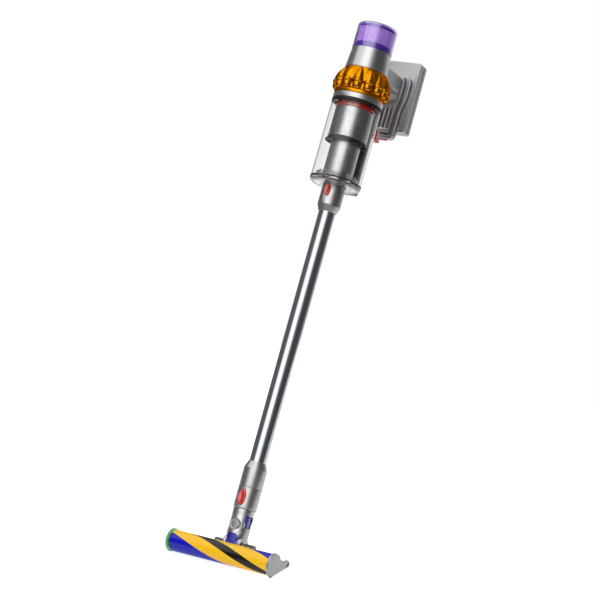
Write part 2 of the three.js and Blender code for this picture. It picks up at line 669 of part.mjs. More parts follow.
// The side outline shared by the end caps: round about the roller, flat below, drawn out to a low tail.
function capOutline(inset = 0) {
  const r = 26 - inset;
  const base = 1 + inset;
  const shape = new THREE.Shape();
  shape.moveTo(-Math.sqrt(r * r - (rollerZ - base) ** 2), base);
  shape.lineTo(head.tail - 3 - inset, base);
  shape.quadraticCurveTo(head.tail - inset, 3, head.tail - inset, 8);
  shape.lineTo(head.tail - 4 - inset, 16 - inset);
  shape.quadraticCurveTo(38, 19 - inset, 26 - inset, 24);
  shape.quadraticCurveTo(25 - inset, 34, 18.4, rollerZ + 0.7 * r);
  shape.absarc(0, rollerZ, r, THREE.MathUtils.degToRad(46), Math.PI + Math.asin((rollerZ - base) / r), false);
  return shape;
}

// A low shell behind the roller, with a round boss on each side of the neck for the fold's pins.
function headHousing() {
  const outline = polygon([[16, 41], [22, 33], [27, 25.6], [44, 18.6], [56, 13.4], [61, 8], [61, 5],
    [16, 5]]);
  const hollow = polygon([[28, 22.4], [43, 16], [55, 10.8], [58.4, 6.6], [58.4, 1], [28, 1]]);
  const half = roller.halfLength + 0.9;
  const { y, z } = pitchPoint;
  const bosses = [-1, 1].map((side) => {
    const [from, to] = side > 0 ? [hinge.from, hinge.to] : [-hinge.to, -hinge.from];
    return join(rod('x', hinge.radius, from, to, y, z, 24), box(from, to, 26, y + hinge.radius, 5, z));
  });
  const shell = join(prism('x', outline, -half, half), ...bosses);
  const roomLeft = prism('x', hollow, -half + head.wall, -hinge.to - head.wall);
  const roomRight = prism('x', hollow, hinge.to + head.wall, half - head.wall);
  const rollerRoom = rod('x', chamber, -half - 5, half + 5, 0, rollerZ, 36);
  const neckRoom = join(box(-hinge.from, hinge.from, 28.5, 80, -5, 80),
    rod('x', 30, -hinge.from, hinge.from, y, z, 24));
  const mouth = box(-26, 26, 15, 40, 9, 24);
  const pins = rod('x', 4.3, -32, 32, y, z, 16);
  const wheelWells = [-1, 1].map((side) => box(side * wheel.x - 4.6, side * wheel.x + 4.6, 42, 60, -1, 13.5));
  return cut(shell, rollerRoom, roomLeft, roomRight, neckRoom, mouth, pins, ...wheelWells);
}

const pitchPoint = new THREE.Vector3(0, 0, neck.pitchZ).applyAxisAngle(X, -lean).add(axisFoot);

function solePlate() {
  const plate = box(-head.halfWidth + 9, head.halfWidth - 9, 27, 60.4, 2, 4.7);
  const wells = [-1, 1].map((side) => box(side * wheel.x - 4.6, side * wheel.x + 4.6, 42, 59, 0, 9));
  return cut(plate, ...wells, box(-27, 27, 32, 70, 0, 9));
}

// A small wheel with its stub axles.
function floorWheel(side) {
  const { radius, halfWidth, stub } = wheel;
  const half = [[radius, halfWidth - 1.2], [radius - 1, halfWidth], [1.5, halfWidth], [1.5, stub], [0, stub]];
  const mirrored = half.map(([r, z]) => [r, -z]).reverse();
  return turned([...mirrored, ...half], 16).rotateY(Math.PI / 2).translate(side * wheel.x, wheel.y, radius);
}

function rollerCore() {
  const outer = roller.radius - roller.sleeve - gap;
  const body = tube(outer, outer - roller.coreWall, -roller.halfLength, roller.halfLength, 32);
  const hub = tube(outer - 1, 5.4, 96, 102, 32);
  return join(body, hub).rotateY(Math.PI / 2).translate(0, 0, rollerZ);
}

const ringX = (outer, inner, from, to, segments = 24) =>
  tube(outer, inner, from, to, segments).rotateY(Math.PI / 2).translate(0, 0, rollerZ);

function endCapRight() {
  const { halfWidth, capWidth } = head;
  const plate = prism('x', capOutline(), halfWidth - capWidth + gap, halfWidth, 5);
  const rim = cut(prism('x', capOutline(-1), halfWidth - 1.4, halfWidth + 1, 5),
    prism('x', capOutline(1.4), halfWidth - 2, halfWidth + 2, 5));
  const notch = prism('x', polygon([[46, 4], [57.5, 4], [57, 11], [53, 13]]), halfWidth - 3, halfWidth + 2);
  return cut(plate, rim, notch);
}

function endCapLeft() {
  const { halfWidth, capWidth } = head;
  return prism('x', capOutline(), -halfWidth, -halfWidth + capWidth - gap, 4);
}

add(floorHead, 'head_housing', headHousing(), nickel);
add(floorHead, 'sole_plate', solePlate(), black);
add(floorHead, 'end_cap_right', endCapRight(), capGrey);
add(floorHead, 'end_cap_left', endCapLeft(), green);
add(floorHead, 'roller_sleeve',
  ringX(roller.radius, roller.radius - roller.sleeve, -roller.halfLength, roller.halfLength, 36), blue);
add(floorHead, 'roller_core', rollerCore(), darkMetal);
add(floorHead, 'roller_motor', ringX(15.5, 2, -head.halfWidth + head.capWidth, 20), darkMetal);
add(floorHead, 'roller_bearing', ringX(5, 2, 95, head.halfWidth - head.capWidth, 16), steel);
add(floorHead, 'light_module', box(-118, -96, 30, 42, 8, 15), black);
for (const [side, word] of sides) add(floorHead, `wheel_${word}`, floorWheel(side), rubber);
for (const [side, word] of sides) {
  const [from, to] = side > 0 ? [16, 31] : [-31, -16];
  add(floorHead, `neck_pin_${word}`, rod('x', 4, from, to, pitchPoint.y, pitchPoint.z, 16), steel);
}

export default vacuum;
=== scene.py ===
"""Cordless stick vacuum: the visible surfaces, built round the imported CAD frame.

Lengths are in millimetres until a mesh is made, which is in metres."""

import math

import bmesh
import bpy
from mathutils import Matrix, Vector
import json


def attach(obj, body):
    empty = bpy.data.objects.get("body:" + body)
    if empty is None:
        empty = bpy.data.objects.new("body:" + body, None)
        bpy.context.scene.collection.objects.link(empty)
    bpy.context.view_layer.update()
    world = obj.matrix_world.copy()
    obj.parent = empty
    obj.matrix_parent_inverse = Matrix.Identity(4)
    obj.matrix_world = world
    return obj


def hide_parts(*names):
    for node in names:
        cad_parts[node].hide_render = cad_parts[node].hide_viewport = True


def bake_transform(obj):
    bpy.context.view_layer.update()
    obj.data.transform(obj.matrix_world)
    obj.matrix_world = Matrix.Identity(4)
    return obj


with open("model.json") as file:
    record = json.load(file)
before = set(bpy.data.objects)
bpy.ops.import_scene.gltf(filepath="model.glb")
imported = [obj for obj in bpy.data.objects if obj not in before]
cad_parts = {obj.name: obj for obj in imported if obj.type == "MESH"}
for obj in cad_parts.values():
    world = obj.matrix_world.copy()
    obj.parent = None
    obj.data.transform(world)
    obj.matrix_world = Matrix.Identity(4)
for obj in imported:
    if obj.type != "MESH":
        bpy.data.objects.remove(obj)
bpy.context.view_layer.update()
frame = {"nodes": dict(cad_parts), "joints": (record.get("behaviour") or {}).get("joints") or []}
joints = {joint["name"]: joint for joint in frame["joints"]}

MM = 0.001

# ---------------------------------------------------------------- places

ROLLER_RADIUS = 23.5
LEAN_PIVOT = 30.0  # station of the neck's front and back pivot caps on the machine's axis

ALONG = -Vector(joints["wand_pull"]["axis"])  # up the wand
BEHIND = Vector(joints["neck_lean"]["axis"])  # towards the battery
AXIS_FOOT = Vector(joints["neck_lean"]["pos_m"]) - ALONG * LEAN_PIVOT * MM
FLOOR_POINT = Vector(joints["roller_spin"]["pos_m"]) - Vector((0, 0, ROLLER_RADIUS * MM))


def placed(x_axis, y_axis, z_axis, origin):
    """The matrix of a local frame with these axes."""
    return Matrix.Translation(origin) @ Matrix((x_axis, y_axis, z_axis)).transposed().to_4x4()


# The leaning machine: z is the station along the wand, y the battery side.
MACHINE = placed(Vector((1, 0, 0)), BEHIND, ALONG, AXIS_FOOT)
# The floor head: y = 0 under the roller's axis, z = 0 on the floor.
HEAD = Matrix.Translation(FLOOR_POINT)
# The roller: z runs along its axis, so that its bands turn with it.
ROLLER = placed(Vector((0, 1, 0)), Vector((0, 0, 1)), Vector((1, 0, 0)),
                Vector(joints["roller_spin"]["pos_m"]))
# The local frame that a body's pieces are drawn in, where it isn't the leaning machine's.
PLACES = {"head": HEAD, "roller": ROLLER}


# ---------------------------------------------------------------- camera, floor and light

CAMERA_AT = Vector((2252.6, -3475.6, 1702.5)) * MM  # from the point on the floor under the roller
CAMERA_AZIMUTH = math.radians(30.81)
CAMERA_ELEVATION = math.radians(15.04)
CAMERA_ROLL = math.radians(1.29)
FOCAL = 123.42  # on a 36 mm sensor


def camera_axes():
    """The camera's right, up and backward directions."""
    azimuth, elevation, roll = CAMERA_AZIMUTH, CAMERA_ELEVATION, CAMERA_ROLL
    right = Vector((math.cos(azimuth), math.sin(azimuth), 0))
    back = Vector((
        math.sin(azimuth) * math.cos(elevation),
        -math.cos(azimuth) * math.cos(elevation),
        math.sin(elevation),
    ))
    up = back.cross(right)
    rolled = right * math.cos(roll) + up * math.sin(roll)
    return rolled, back.cross(rolled), back


def make_camera():
    data = bpy.data.cameras.new("camera")
    data.lens = FOCAL
    data.sensor_width = 36
    data.clip_end = 50
    camera = bpy.data.objects.new("camera", data)
    bpy.context.scene.collection.objects.link(camera)
    camera.matrix_world = placed(*camera_axes(), FLOOR_POINT + CAMERA_AT)
    bpy.context.scene.camera = camera


def add_light(name, direction, distance, size, power, colour=(1, 1, 1)):
    """A square area light that looks at the middle of the machine."""
    middle = AXIS_FOOT + ALONG * 0.6
    data = bpy.data.lights.new(name, "AREA")
    data.energy = power
    data.size = size
    data.color = colour
    light = bpy.data.objects.new(name, data)
    bpy.context.scene.collection.objects.link(light)
    light.location = middle + Vector(direction).normalized() * distance
    light.rotation_euler = (middle - light.location).to_track_quat("-Z", "Y").to_euler()
    light.visible_glossy = False


class Nodes:
    """A node tree with short calls for making and joining its nodes."""

    def __init__(self, tree):
        self.tree = tree

    def node(self, kind, **values):
        made = self.tree.nodes.new(kind)
        for key, value in values.items():
            if hasattr(made, key):
                setattr(made, key, value)
            else:
                made.inputs[key.replace("_", " ")].default_value = value
        return made

    def link(self, out, into):
        self.tree.links.new(out, into)

    def split(self, vector):
        """The X, Y and Z sockets of a vector."""
        made = self.node("ShaderNodeSeparateXYZ")
        self.link(vector, made.inputs["Vector"])
        return made.outputs

    def ramp(self, factor, stops, interpolation="LINEAR"):
        """A colour ramp of (place, colour) stops; a single number is a grey."""
        made = self.node("ShaderNodeValToRGB")
        ramp = made.color_ramp
        ramp.interpolation = interpolation
        while len(ramp.elements) < len(stops):
            ramp.elements.new(0.5)
        for element, (place, colour) in zip(ramp.elements, stops):
            element.position = place
            element.color = (*(colour if isinstance(colour, tuple) else (colour,) * 3), 1)
        self.link(factor, made.inputs["Fac"])
        return made.outputs["Color"]

    def math(self, operation, first, second=0.0, third=0.0):
        made = self.node("ShaderNodeMath", operation=operation)
        for index, value in enumerate((first, second, third)):
            if isinstance(value, bpy.types.NodeSocket):
                self.link(value, made.inputs[index])
            else:
                made.inputs[index].default_value = value
        return made.outputs["Value"]

    def spread(self, value, low, high, to_low=0.0, to_high=1.0):
        """A value from low to high, stretched to run from to_low to to_high and held there beyond."""
        made = self.node("ShaderNodeMapRange", From_Min=low, From_Max=high, To_Min=to_low, To_Max=to_high)
        self.link(value, made.inputs["Value"])
        return made.outputs["Result"]


# Brightness of the studio in tall strips along the wand, by the turn about its axis: a softbox to the left of
# the camera, dark to its right, grey behind.
STUDIO_STRIPS = [
    (0.00, 0.26), (0.165, 0.26), (0.225, 3.4), (0.315, 3.4), (0.375, 0.4), (0.43, 0.14), (0.58, 0.15),
    (0.628, 0.45), (0.66, 0.8), (0.72, 1.1), (0.84, 1.0), (0.90, 0.35), (1.00, 0.26),
]
# The strips dim below this height along the wand, from no limit down to a dull level.
DIM_BELOW, DULL_AT = 0.05, -0.2
NO_LIMIT, DULL = 8.5, 0.5
# A second softbox overhead and to the left, by its direction's height and its reach to the left.
OVERHEAD_HEIGHT, OVERHEAD_LEFT, OVERHEAD_LEVEL = 0.60, -0.22, 2.2
HEIGHT_BLUR, LEFT_BLUR = 0.02, 0.04
FIRST_BOUNCE = 0.5  # with fewer bounces, a ray comes from the camera directly or through clear walls


def make_world():
    """A studio for reflected and scattered light, and a plain white backdrop for what the camera sees."""
    world = bpy.data.worlds.new("studio")
    bpy.context.scene.world = world
    world.use_nodes = True
    world.node_tree.nodes.clear()
    nodes = Nodes(world.node_tree)
    direction = nodes.node("ShaderNodeTexCoord").outputs["Generated"]
    turn = nodes.node("ShaderNodeVectorRotate", rotation_type="X_AXIS", Angle=math.atan2(ALONG.y, ALONG.z))
    nodes.link(direction, turn.inputs["Vector"])
    about_wand = nodes.split(turn.outputs["Vector"])
    angle = nodes.math("ARCTAN2", about_wand["Y"], about_wand["X"])
    strips = nodes.ramp(nodes.spread(angle, -math.pi, math.pi), STUDIO_STRIPS)
    limit = nodes.spread(about_wand["Z"], DULL_AT, DIM_BELOW, DULL, NO_LIMIT)
    upright = nodes.split(direction)
    above = nodes.ramp(upright["Z"], [(OVERHEAD_HEIGHT - HEIGHT_BLUR, 0), (OVERHEAD_HEIGHT + HEIGHT_BLUR, 1)])
    leftward = nodes.spread(upright["X"], OVERHEAD_LEFT + LEFT_BLUR, OVERHEAD_LEFT - LEFT_BLUR, 0,
                            OVERHEAD_LEVEL)
    overhead = nodes.math("MULTIPLY", above, leftward)
    studio = nodes.node("ShaderNodeBackground")
    nodes.link(nodes.math("MAXIMUM", nodes.math("MINIMUM", strips, limit), overhead), studio.inputs["Color"])
    plain = nodes.node("ShaderNodeBackground", Color=(1, 1, 1, 1))
    rays = nodes.node("ShaderNodeLightPath").outputs
    bounces = nodes.math("ADD", rays["Glossy Depth"], rays["Diffuse Depth"])
    mix = nodes.node("ShaderNodeMixShader")
    nodes.link(nodes.math("LESS_THAN", bounces, FIRST_BOUNCE), mix.inputs["Fac"])
    nodes.link(studio.outputs["Background"], mix.inputs[1])
    nodes.link(plain.outputs["Background"], mix.inputs[2])
    nodes.link(mix.outputs["Shader"], nodes.node("ShaderNodeOutputWorld").inputs["Surface"])


# ---------------------------------------------------------------- materials

class Surface(Nodes):
    """A node material with one Principled shader and short calls for what feeds it."""

    def __init__(self, name, **values):
        self.material = bpy.data.materials.new(name)
        self.material.use_nodes = True
        super().__init__(self.material.node_tree)
        self.shader = self.tree.nodes["Principled BSDF"]
        for socket, value in values.items():
            self.set(socket, value)

    def set(self, socket, value):
        self.shader.inputs[socket.replace("_", " ")].default_value = value
        return self

    def coords(self, scale=(1, 1, 1)):
        """Object coordinates in metres, so that a texture stays on its piece."""
        mapping = self.node("ShaderNodeMapping", Scale=scale)
        self.link(self.node("ShaderNodeTexCoord").outputs["Object"], mapping.inputs["Vector"])
        return mapping.outputs["Vector"]

    def noise(self, size_mm, detail=3.0, stretch=(1, 1, 1)):
        texture = self.node("ShaderNodeTexNoise", Scale=1 / (size_mm * MM), Detail=detail)
        self.link(self.coords(stretch), texture.inputs["Vector"])
        return texture.outputs["Fac"]

    def mix(self, factor, first, second, blend="MIX"):
        """Mixes two colours; the factor and either colour may be a socket."""
        made = self.node("ShaderNodeMix", data_type="RGBA", blend_type=blend)
        for index, value in ((0, factor), (6, first), (7, second)):
            if isinstance(value, bpy.types.NodeSocket):
                self.link(value, made.inputs[index])
            elif isinstance(value, tuple):
                made.inputs[index].default_value = (*value, 1)
            else:
                made.inputs[index].default_value = value
        return made.outputs[2]

    def colour(self, socket):
        self.link(socket, self.shader.inputs["Base Color"])
        return self

    def roughness(self, factor, low, high):
        self.link(self.spread(factor, 0, 1, low, high), self.shader.inputs["Roughness"])
        return self

    def bump(self, height, depth_mm, strength=1.0):
        bump = self.node("ShaderNodeBump", Distance=depth_mm * MM, Strength=strength)
        self.link(height, bump.inputs["Height"])
        self.link(bump.outputs["Normal"], self.shader.inputs["Normal"])
        return self


def edge_wear(surface, colour, worn, low=0.52, high=0.6):
    """A colour that pales on the convex edges, where hands and floors rub it."""
    pointed = surface.node("ShaderNodeNewGeometry").outputs["Pointiness"]
    edges = surface.ramp(pointed, [(low, 0.0), (high, 1.0)])
    patchy = surface.math("MULTIPLY", edges, surface.noise(6))
    return surface.mix(patchy, colour, worn)


def coated_plastic(name, colour, worn, metallic, rough, flake=0.25, coat=0.25, edge=(1, 1, 1)):
    """Satin metallic paint over a moulding: fine flakes, faint clouding and paler edges."""
    surface = Surface(name, Metallic=metallic, Coat_Weight=coat, Coat_Roughness=0.12, Specular_Tint=(*edge,
                                                                                                     1))
    flakes = surface.ramp(surface.noise(flake, 2), [(0.35, tuple(0.93 * c for c in colour)), (0.65, colour)])
    surface.colour(edge_wear(surface, flakes, worn))
    surface.roughness(surface.noise(14, 3), rough - 0.02, rough + 0.03)
    surface.bump(surface.noise(1.2, 1), 0.002)
    return surface.material


def moulded(name, colour, rough, coat=0.0, grain=0.5):
    """Plain moulded plastic with a fine grain."""
    surface = Surface(name, Coat_Weight=coat, Coat_Roughness=0.05)
    cloud = surface.ramp(surface.noise(14, 4), [(0.3, tuple(0.85 * c for c in colour)), (0.7, colour)])
    surface.colour(edge_wear(surface, cloud, tuple(min(1, 1.4 * c + 0.02) for c in colour)))
    surface.roughness(surface.noise(8), rough - 0.02, rough + 0.04)
    surface.bump(surface.noise(grain, 1), 0.002)
    return surface.material


def see_through(name, colour, rough=0.03, ior=1.45, weight=1.0, edge_on_shade=None, start=0.86, coat=0.0):
    """Clear or tinted moulding with painted shade that darkens it where seen edge-on, and the faint ripple
    that moulding leaves.
    """
    surface = Surface(name, Transmission_Weight=weight, IOR=ior, Coat_Weight=coat, Coat_IOR=1.8,
                      Coat_Roughness=0.02)
    body = surface.ramp(surface.noise(30), [(0.3, tuple(0.97 * c for c in colour)), (0.7, colour)])
    # Painted shade: the colour darkens where the surface is seen edge-on, standing in for the dark outlines of
    # the clear walls.
    facing = surface.node("ShaderNodeLayerWeight", Blend=0.5).outputs["Facing"]
    edge = surface.ramp(facing, [(start, 0.0), (0.5 * start + 0.5, 1.0)])
    surface.colour(surface.mix(edge, body, edge_on_shade or tuple(0.6 * c for c in colour)))
    surface.roughness(surface.noise(12), rough, rough + 0.02)
    surface.bump(surface.noise(25, 1), 0.001, 0.3)
    return surface.material


def rubber_material():
    surface = Surface("rubber", Coat_Weight=0.15, Coat_Roughness=0.15, Specular_IOR_Level=0.15)
    surface.colour(surface.ramp(surface.noise(4), [(0.3, 0.003), (0.7, 0.006)]))
    surface.roughness(surface.noise(3), 0.5, 0.65)
    surface.bump(surface.noise(0.8), 0.004)
    return surface.material


SHROUD_RADIUS, HOLE_PITCH = 44.5, 1.0


def shroud_material():
    """Fine perforated metal: rows of small dark holes round the cylinder."""
    surface = Surface("perforated_metal", Metallic=1.0)
    split = surface.split(surface.coords())
    unrolled = surface.node("ShaderNodeCombineXYZ")
    turn = surface.math("ARCTAN2", split["Y"], split["X"])
    surface.link(surface.math("MULTIPLY", turn, SHROUD_RADIUS * MM), unrolled.inputs["X"])
    surface.link(split["Z"], unrolled.inputs["Y"])
    cells = surface.node("ShaderNodeTexVoronoi", voronoi_dimensions="2D", Scale=1 / (HOLE_PITCH * MM),
                         Randomness=0)
    surface.link(unrolled.outputs["Vector"], cells.inputs["Vector"])
    holes = surface.ramp(cells.outputs["Distance"], [(0.22, 0.80), (0.32, 1.0)])
    tone = surface.ramp(surface.noise(20), [(0.3, (0.31, 0.31, 0.315)), (0.7, (0.33, 0.33, 0.335))])
    surface.colour(surface.mix(1.0, tone, holes, "MULTIPLY"))
    surface.roughness(surface.noise(8), 0.26, 0.3)
    surface.bump(holes, 0.001)
    return surface.material


# Where each colour of the roller's nap starts, in degrees round it, and the helix that the bands follow.
BLUE, YELLOW, NEAR_BLACK = (0.004, 0.004, 0.27), (0.60, 0.34, 0.006), (0.005, 0.004, 0.003)
BANDS = [(-180, BLUE), (-30, YELLOW), (38, NEAR_BLACK), (82, YELLOW), (152, BLUE)]
BAND_TWIST = 0.80  # degrees for each millimetre along the roller


def nap_material():
    """Soft woven nap in helical bands, with rows of tufts and a sheen."""
    surface = Surface("roller_nap", Coat_Weight=0.5, Coat_Roughness=0.08, Specular_IOR_Level=0.0)
    split = surface.split(surface.coords())
    around = surface.math("ARCTAN2", split["Y"], surface.math("MULTIPLY", split["X"], -1.0))
    degrees = surface.math("MULTIPLY", around, 180 / math.pi)
    twist = surface.math("MULTIPLY", split["Z"], BAND_TWIST / MM)
    ragged = surface.math("MULTIPLY", surface.noise(1.2, 2), 2.4)
    phase = surface.math("ADD", surface.math("ADD", degrees, twist), ragged)
    turns = surface.math("WRAP", surface.math("DIVIDE", surface.math("ADD", phase, 180), 360), 1.0, 0.0)
    stops = [((start + 180) / 360, colour) for start, colour in BANDS]
    bands = surface.ramp(turns, stops, "CONSTANT")
    tufts = surface.noise(0.9, 2, (1, 1, 0.35))
    shade = surface.ramp(tufts, [(0.3, 0.86), (0.7, 1.0)])
    surface.colour(surface.mix(1.0, bands, shade, "MULTIPLY"))
    surface.roughness(tufts, 0.5, 0.7)
    surface.bump(tufts, 0.003)
    return surface.material


def pleat_material():
    surface = Surface("filter_paper", Roughness=0.9)
    surface.colour(surface.ramp(surface.noise(0.5), [(0.3, (0.78, 0.74, 0.82)), (0.7, (0.9, 0.87, 0.93))]))
    surface.bump(surface.noise(0.3), 0.03)
    return surface.material


NICKEL = coated_plastic("nickel", (0.29, 0.285, 0.28), (0.4, 0.4, 0.4), 1.0, 0.34)
BRIGHT_NICKEL = coated_plastic("bright_nickel", (0.31, 0.31, 0.31), (0.42, 0.42, 0.42), 1.0, 0.3)
SATIN_NICKEL = coated_plastic("satin_nickel", (0.25, 0.25, 0.255), (0.36, 0.36, 0.37), 0.85, 0.38)
DARK_METAL = coated_plastic("dark_metal", (0.14, 0.14, 0.145), (0.3, 0.3, 0.3), 0.9, 0.3)
STEEL = coated_plastic("steel", (0.45, 0.45, 0.46), (0.55, 0.55, 0.55), 1.0, 0.25)
WAND_PAINT = coated_plastic("wand_anodising", (0.27, 0.295, 0.32), (0.34, 0.34, 0.36), 1.0, 0.12, 1.0)
GOLD = coated_plastic("gold", (0.42, 0.155, 0.003), (0.46, 0.18, 0.005), 1.0, 0.27, 0.25, 0.0,
                      (0.5, 0.2, 0.01))
CAP_GREY = coated_plastic("cap_grey", (0.25, 0.25, 0.25), (0.4, 0.4, 0.4), 0.4, 0.4)
RED = moulded("red", (0.36, 0.002, 0.002), 0.2, 0.6)
BLACK = moulded("black", (0.006, 0.006, 0.006), 0.35, 0.2)
HOSE_BLUE = moulded("hose_blue", (0.004, 0.004, 0.33), 0.3, 0.4)
RUBBER = rubber_material()
PERFORATED = shroud_material()
NAP = nap_material()
PAPER = pleat_material()
# Each see-through moulding below is painted darker where seen edge-on: painted shade for its outlines.
CLEAR = see_through("clear", (0.965, 0.965, 0.965), 0.0, 1.25, 1.0, (0.35, 0.35, 0.35), 0.68)
CLEAR_RIBBED = see_through("clear_ribbed", (0.93, 0.93, 0.93), 0.0, 1.49, 1.0, (0.2, 0.2, 0.2), 0.8)
PURPLE = see_through("purple", (0.74, 0.56, 0.99), 0.02, 1.3, 1.0, (0.14, 0.03, 0.42), 0.52, 0.5)
DEEP_PURPLE = moulded("deep_purple", (0.10, 0.0, 0.36), 0.6)
GREEN = see_through("green", (0.22, 0.55, 0.22), 0.06, 1.45, 0.8, (0.02, 0.10, 0.02))
CIRCUIT = moulded("circuit", (0.01, 0.1, 0.03), 0.4)
CELL_WRAP = moulded("cell_wrap", (0.03, 0.08, 0.4), 0.3)
SCREEN = moulded("screen", (0.006, 0.006, 0.008), 0.06, 1.0)


# ---------------------------------------------------------------- mesh tools

def rounded(points, steps=4, closed=True):
    """An outline whose corners given as (u, v, radius) become smooth curves; (u, v) stays sharp."""
    count = len(points)
    result = []
    for i, point in enumerate(points):
        here = Vector(point[:2])
        end = not closed and i in (0, count - 1)
        if len(point) < 3 or end:
            result.append(tuple(here))
            continue
        before = Vector(points[i - 1][:2]) - here
        after = Vector(points[(i + 1) % count][:2]) - here
        reach = min(point[2], 0.49 * before.length, 0.49 * after.length)
        start, stop = here + before.normalized() * reach, here + after.normalized() * reach
        for k in range(steps + 1):
            t = k / steps
            result.append(tuple(start * (1 - t) ** 2 + here * 2 * t * (1 - t) + stop * t * t))
    return result


def solid(name, shape, place):
    """A mesh object from a shape's millimetres in a local frame."""
    vertices, faces = shape
    mesh = bpy.data.meshes.new(name)
    mesh.from_pydata([Vector(v) * MM for v in vertices], [], faces)
    work = bmesh.new()
    work.from_mesh(mesh)
    bmesh.ops.remove_doubles(work, verts=work.verts, dist=1e-7)
    bmesh.ops.recalc_face_normals(work, faces=work.faces)
    work.to_mesh(mesh)
    work.free()
    made = bpy.data.objects.new(name, mesh)
    bpy.context.scene.collection.objects.link(made)
    made.matrix_world = place
    return made


def make_piece(name, shape, body, material, slot, *nodes, sharp=32):
    """A visible piece that rides on a body and stands for the CAD nodes."""
    piece = solid(name, shape, PLACES.get(body, MACHINE))
    piece.data.materials.append(material)
    smooth(piece, sharp)
    if body:
        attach(piece, body)
    if nodes:
        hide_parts(*nodes)
    return piece


def smooth(piece, sharp=32):
    piece.data.shade_smooth()
    piece.data.set_sharp_from_angle(angle=math.radians(sharp))


def turned(profile, segments=128, radius_at=None, steps=4):
    """A profile of (radius, z[, corner]) turned about z; it closes on itself where it is off the axis."""
    closed = profile[0][0] > 0 or profile[-1][0] > 0
    outline = rounded(profile, steps, closed)
    count = len(outline)
    vertices = []
    for i in range(segments):
        angle = 2 * math.pi * i / segments
        for radius, z in outline:
            r = radius_at(radius, z, angle) if radius_at else radius
            vertices.append((r * math.cos(angle), r * math.sin(angle), z))
    rows = count if closed else count - 1
    faces = []
    for i in range(segments):
        j = (i + 1) % segments
        for k in range(rows):
            m = (k + 1) % count
            faces.append((i * count + k, j * count + k, j * count + m, i * count + m))
    return vertices, faces


def merged(*shapes):
    """One list of vertices and faces from several."""
    vertices, faces = [], []
    for shape_vertices, shape_faces in shapes:
        start = len(vertices)
        vertices += shape_vertices
        faces += [tuple(start + v for v in face) for face in shape_faces]
    return vertices, faces


def moved(shape, matrix):
    vertices, faces = shape
    return [tuple(matrix @ Vector(v)) for v in vertices], faces


def shifted(shape, x=0, y=0, z=0):
    return moved(shape, Matrix.Translation((x, y, z)))


AXIS_ORDER = {"x": lambda u, v, w: (w, u, v), "y": lambda u, v, w: (u, w, v), "z": lambda u, v, w: (u, v, w)}


def prism(axis, outline, start, end, edge=0.0, steps=3):
    """A closed bar of this outline, (y, z) along x, (x, z) along y or (x, y) along z, with round end edges."""
    order = AXIS_ORDER[axis]
    points = [Vector(p) for p in outline]
    area = sum(a.x * b.y - b.x * a.y for a, b in zip(points, points[1:] + points[:1]))
    if area < 0:
        points.reverse()
    layers = [(start, 0.0), (end, 0.0)]
    if edge:
        arc = [math.pi / 2 * k / steps for k in range(steps + 1)]
        low = [(start + edge * (1 - math.sin(a)), edge * (1 - math.cos(a))) for a in reversed(arc)]
        layers = low + [(end + start - w, inset) for w, inset in reversed(low)]
    rings = []
    for w, inset in layers:
        ring = inset_outline(points, inset)
        rings.append([order(p.x, p.y, w) for p in ring])
    count = len(points)
    vertices = [v for ring in rings for v in ring]
    faces = [tuple(range(count)), tuple(range((len(rings) - 1) * count, len(rings) * count))]
    for r in range(len(rings) - 1):
        for k in range(count):
            m = (k + 1) % count
            faces.append((r * count + k, r * count + m, (r + 1) * count + m, (r + 1) * count + k))
    return vertices, faces


def inset_outline(points, distance):
    """Each point of a counter-clockwise outline moved in along its corner's bisector."""
    if not distance:
        return points
    result = []
    for i, point in enumerate(points):
        before = (point - points[i - 1]).normalized()
        after = (points[(i + 1) % len(points)] - point).normalized()
        normal = Vector((-before.y - after.y, before.x + after.x))
        if normal.length < 1e-9:
            result.append(point)
            continue
        normal.normalize()
        slant = max(0.4, normal.dot(Vector((-before.y, before.x))))
        result.append(point + normal * distance / slant)
    return result


def round_box(width, height, radius, u=0.0, v=0.0, steps=6):
    """The outline of a rectangle with round corners."""
    w, h = width / 2 - radius, height / 2 - radius
    points = []
    for corner, (a, b) in enumerate(((w, -h), (w, h), (-w, h), (-w, -h))):
        for k in range(steps + 1):
            angle = math.pi / 2 * (corner - 1 + k / steps)
            points.append((u + a + radius * math.cos(angle), v + b + radius * math.sin(angle)))
    return points


def disc(radius, u=0.0, v=0.0, steps=48):
    return [(u + radius * math.cos(2 * math.pi * k / steps), v + radius * math.sin(2 * math.pi * k / steps))
            for k in range(steps)]


def mirrored(half):
    """A left-right symmetric outline from its right half, bottom to top."""
    return half + [(-p[0], *p[1:]) for p in reversed(half) if p[0] > 0]


def shaped(piece, *tools, bevel=0.0, sharp=32):
    """Applies booleans, given as (operation, shape), and then a small bevel to the sharp edges."""
    place = piece.matrix_world.copy()
    helpers = []
    for operation, shape in tools:
        helper = solid("tool", shape, place)
        helpers.append(helper)
        modifier = piece.modifiers.new("shape", "BOOLEAN")
        modifier.operation = operation
        modifier.object = helper
        modifier.solver = "EXACT"
    if bevel:
        modifier = piece.modifiers.new("edge", "BEVEL")
        modifier.width = bevel * MM
        modifier.segments = 2
        modifier.limit_method = "ANGLE"
        modifier.angle_limit = math.radians(35)
    bpy.context.view_layer.update()
    finished = bpy.data.meshes.new_from_object(piece.evaluated_get(bpy.context.evaluated_depsgraph_get()))
    piece.modifiers.clear()
    piece.data = finished
    for helper in helpers:
        bpy.data.objects.remove(helper)
    smooth(piece, sharp)
    return piece


CUT, ADD, KEEP = "DIFFERENCE", "UNION", "INTERSECT"


def around(count, shape, offset=0.0):
    """Copies of a shape evenly round the z axis."""
    return merged(*[moved(shape, Matrix.Rotation(offset + 2 * math.pi * i / count, 4,
                                                 "Z")) for i in range(count)])


# ---------------------------------------------------------------- cyclones, motor housing and filter

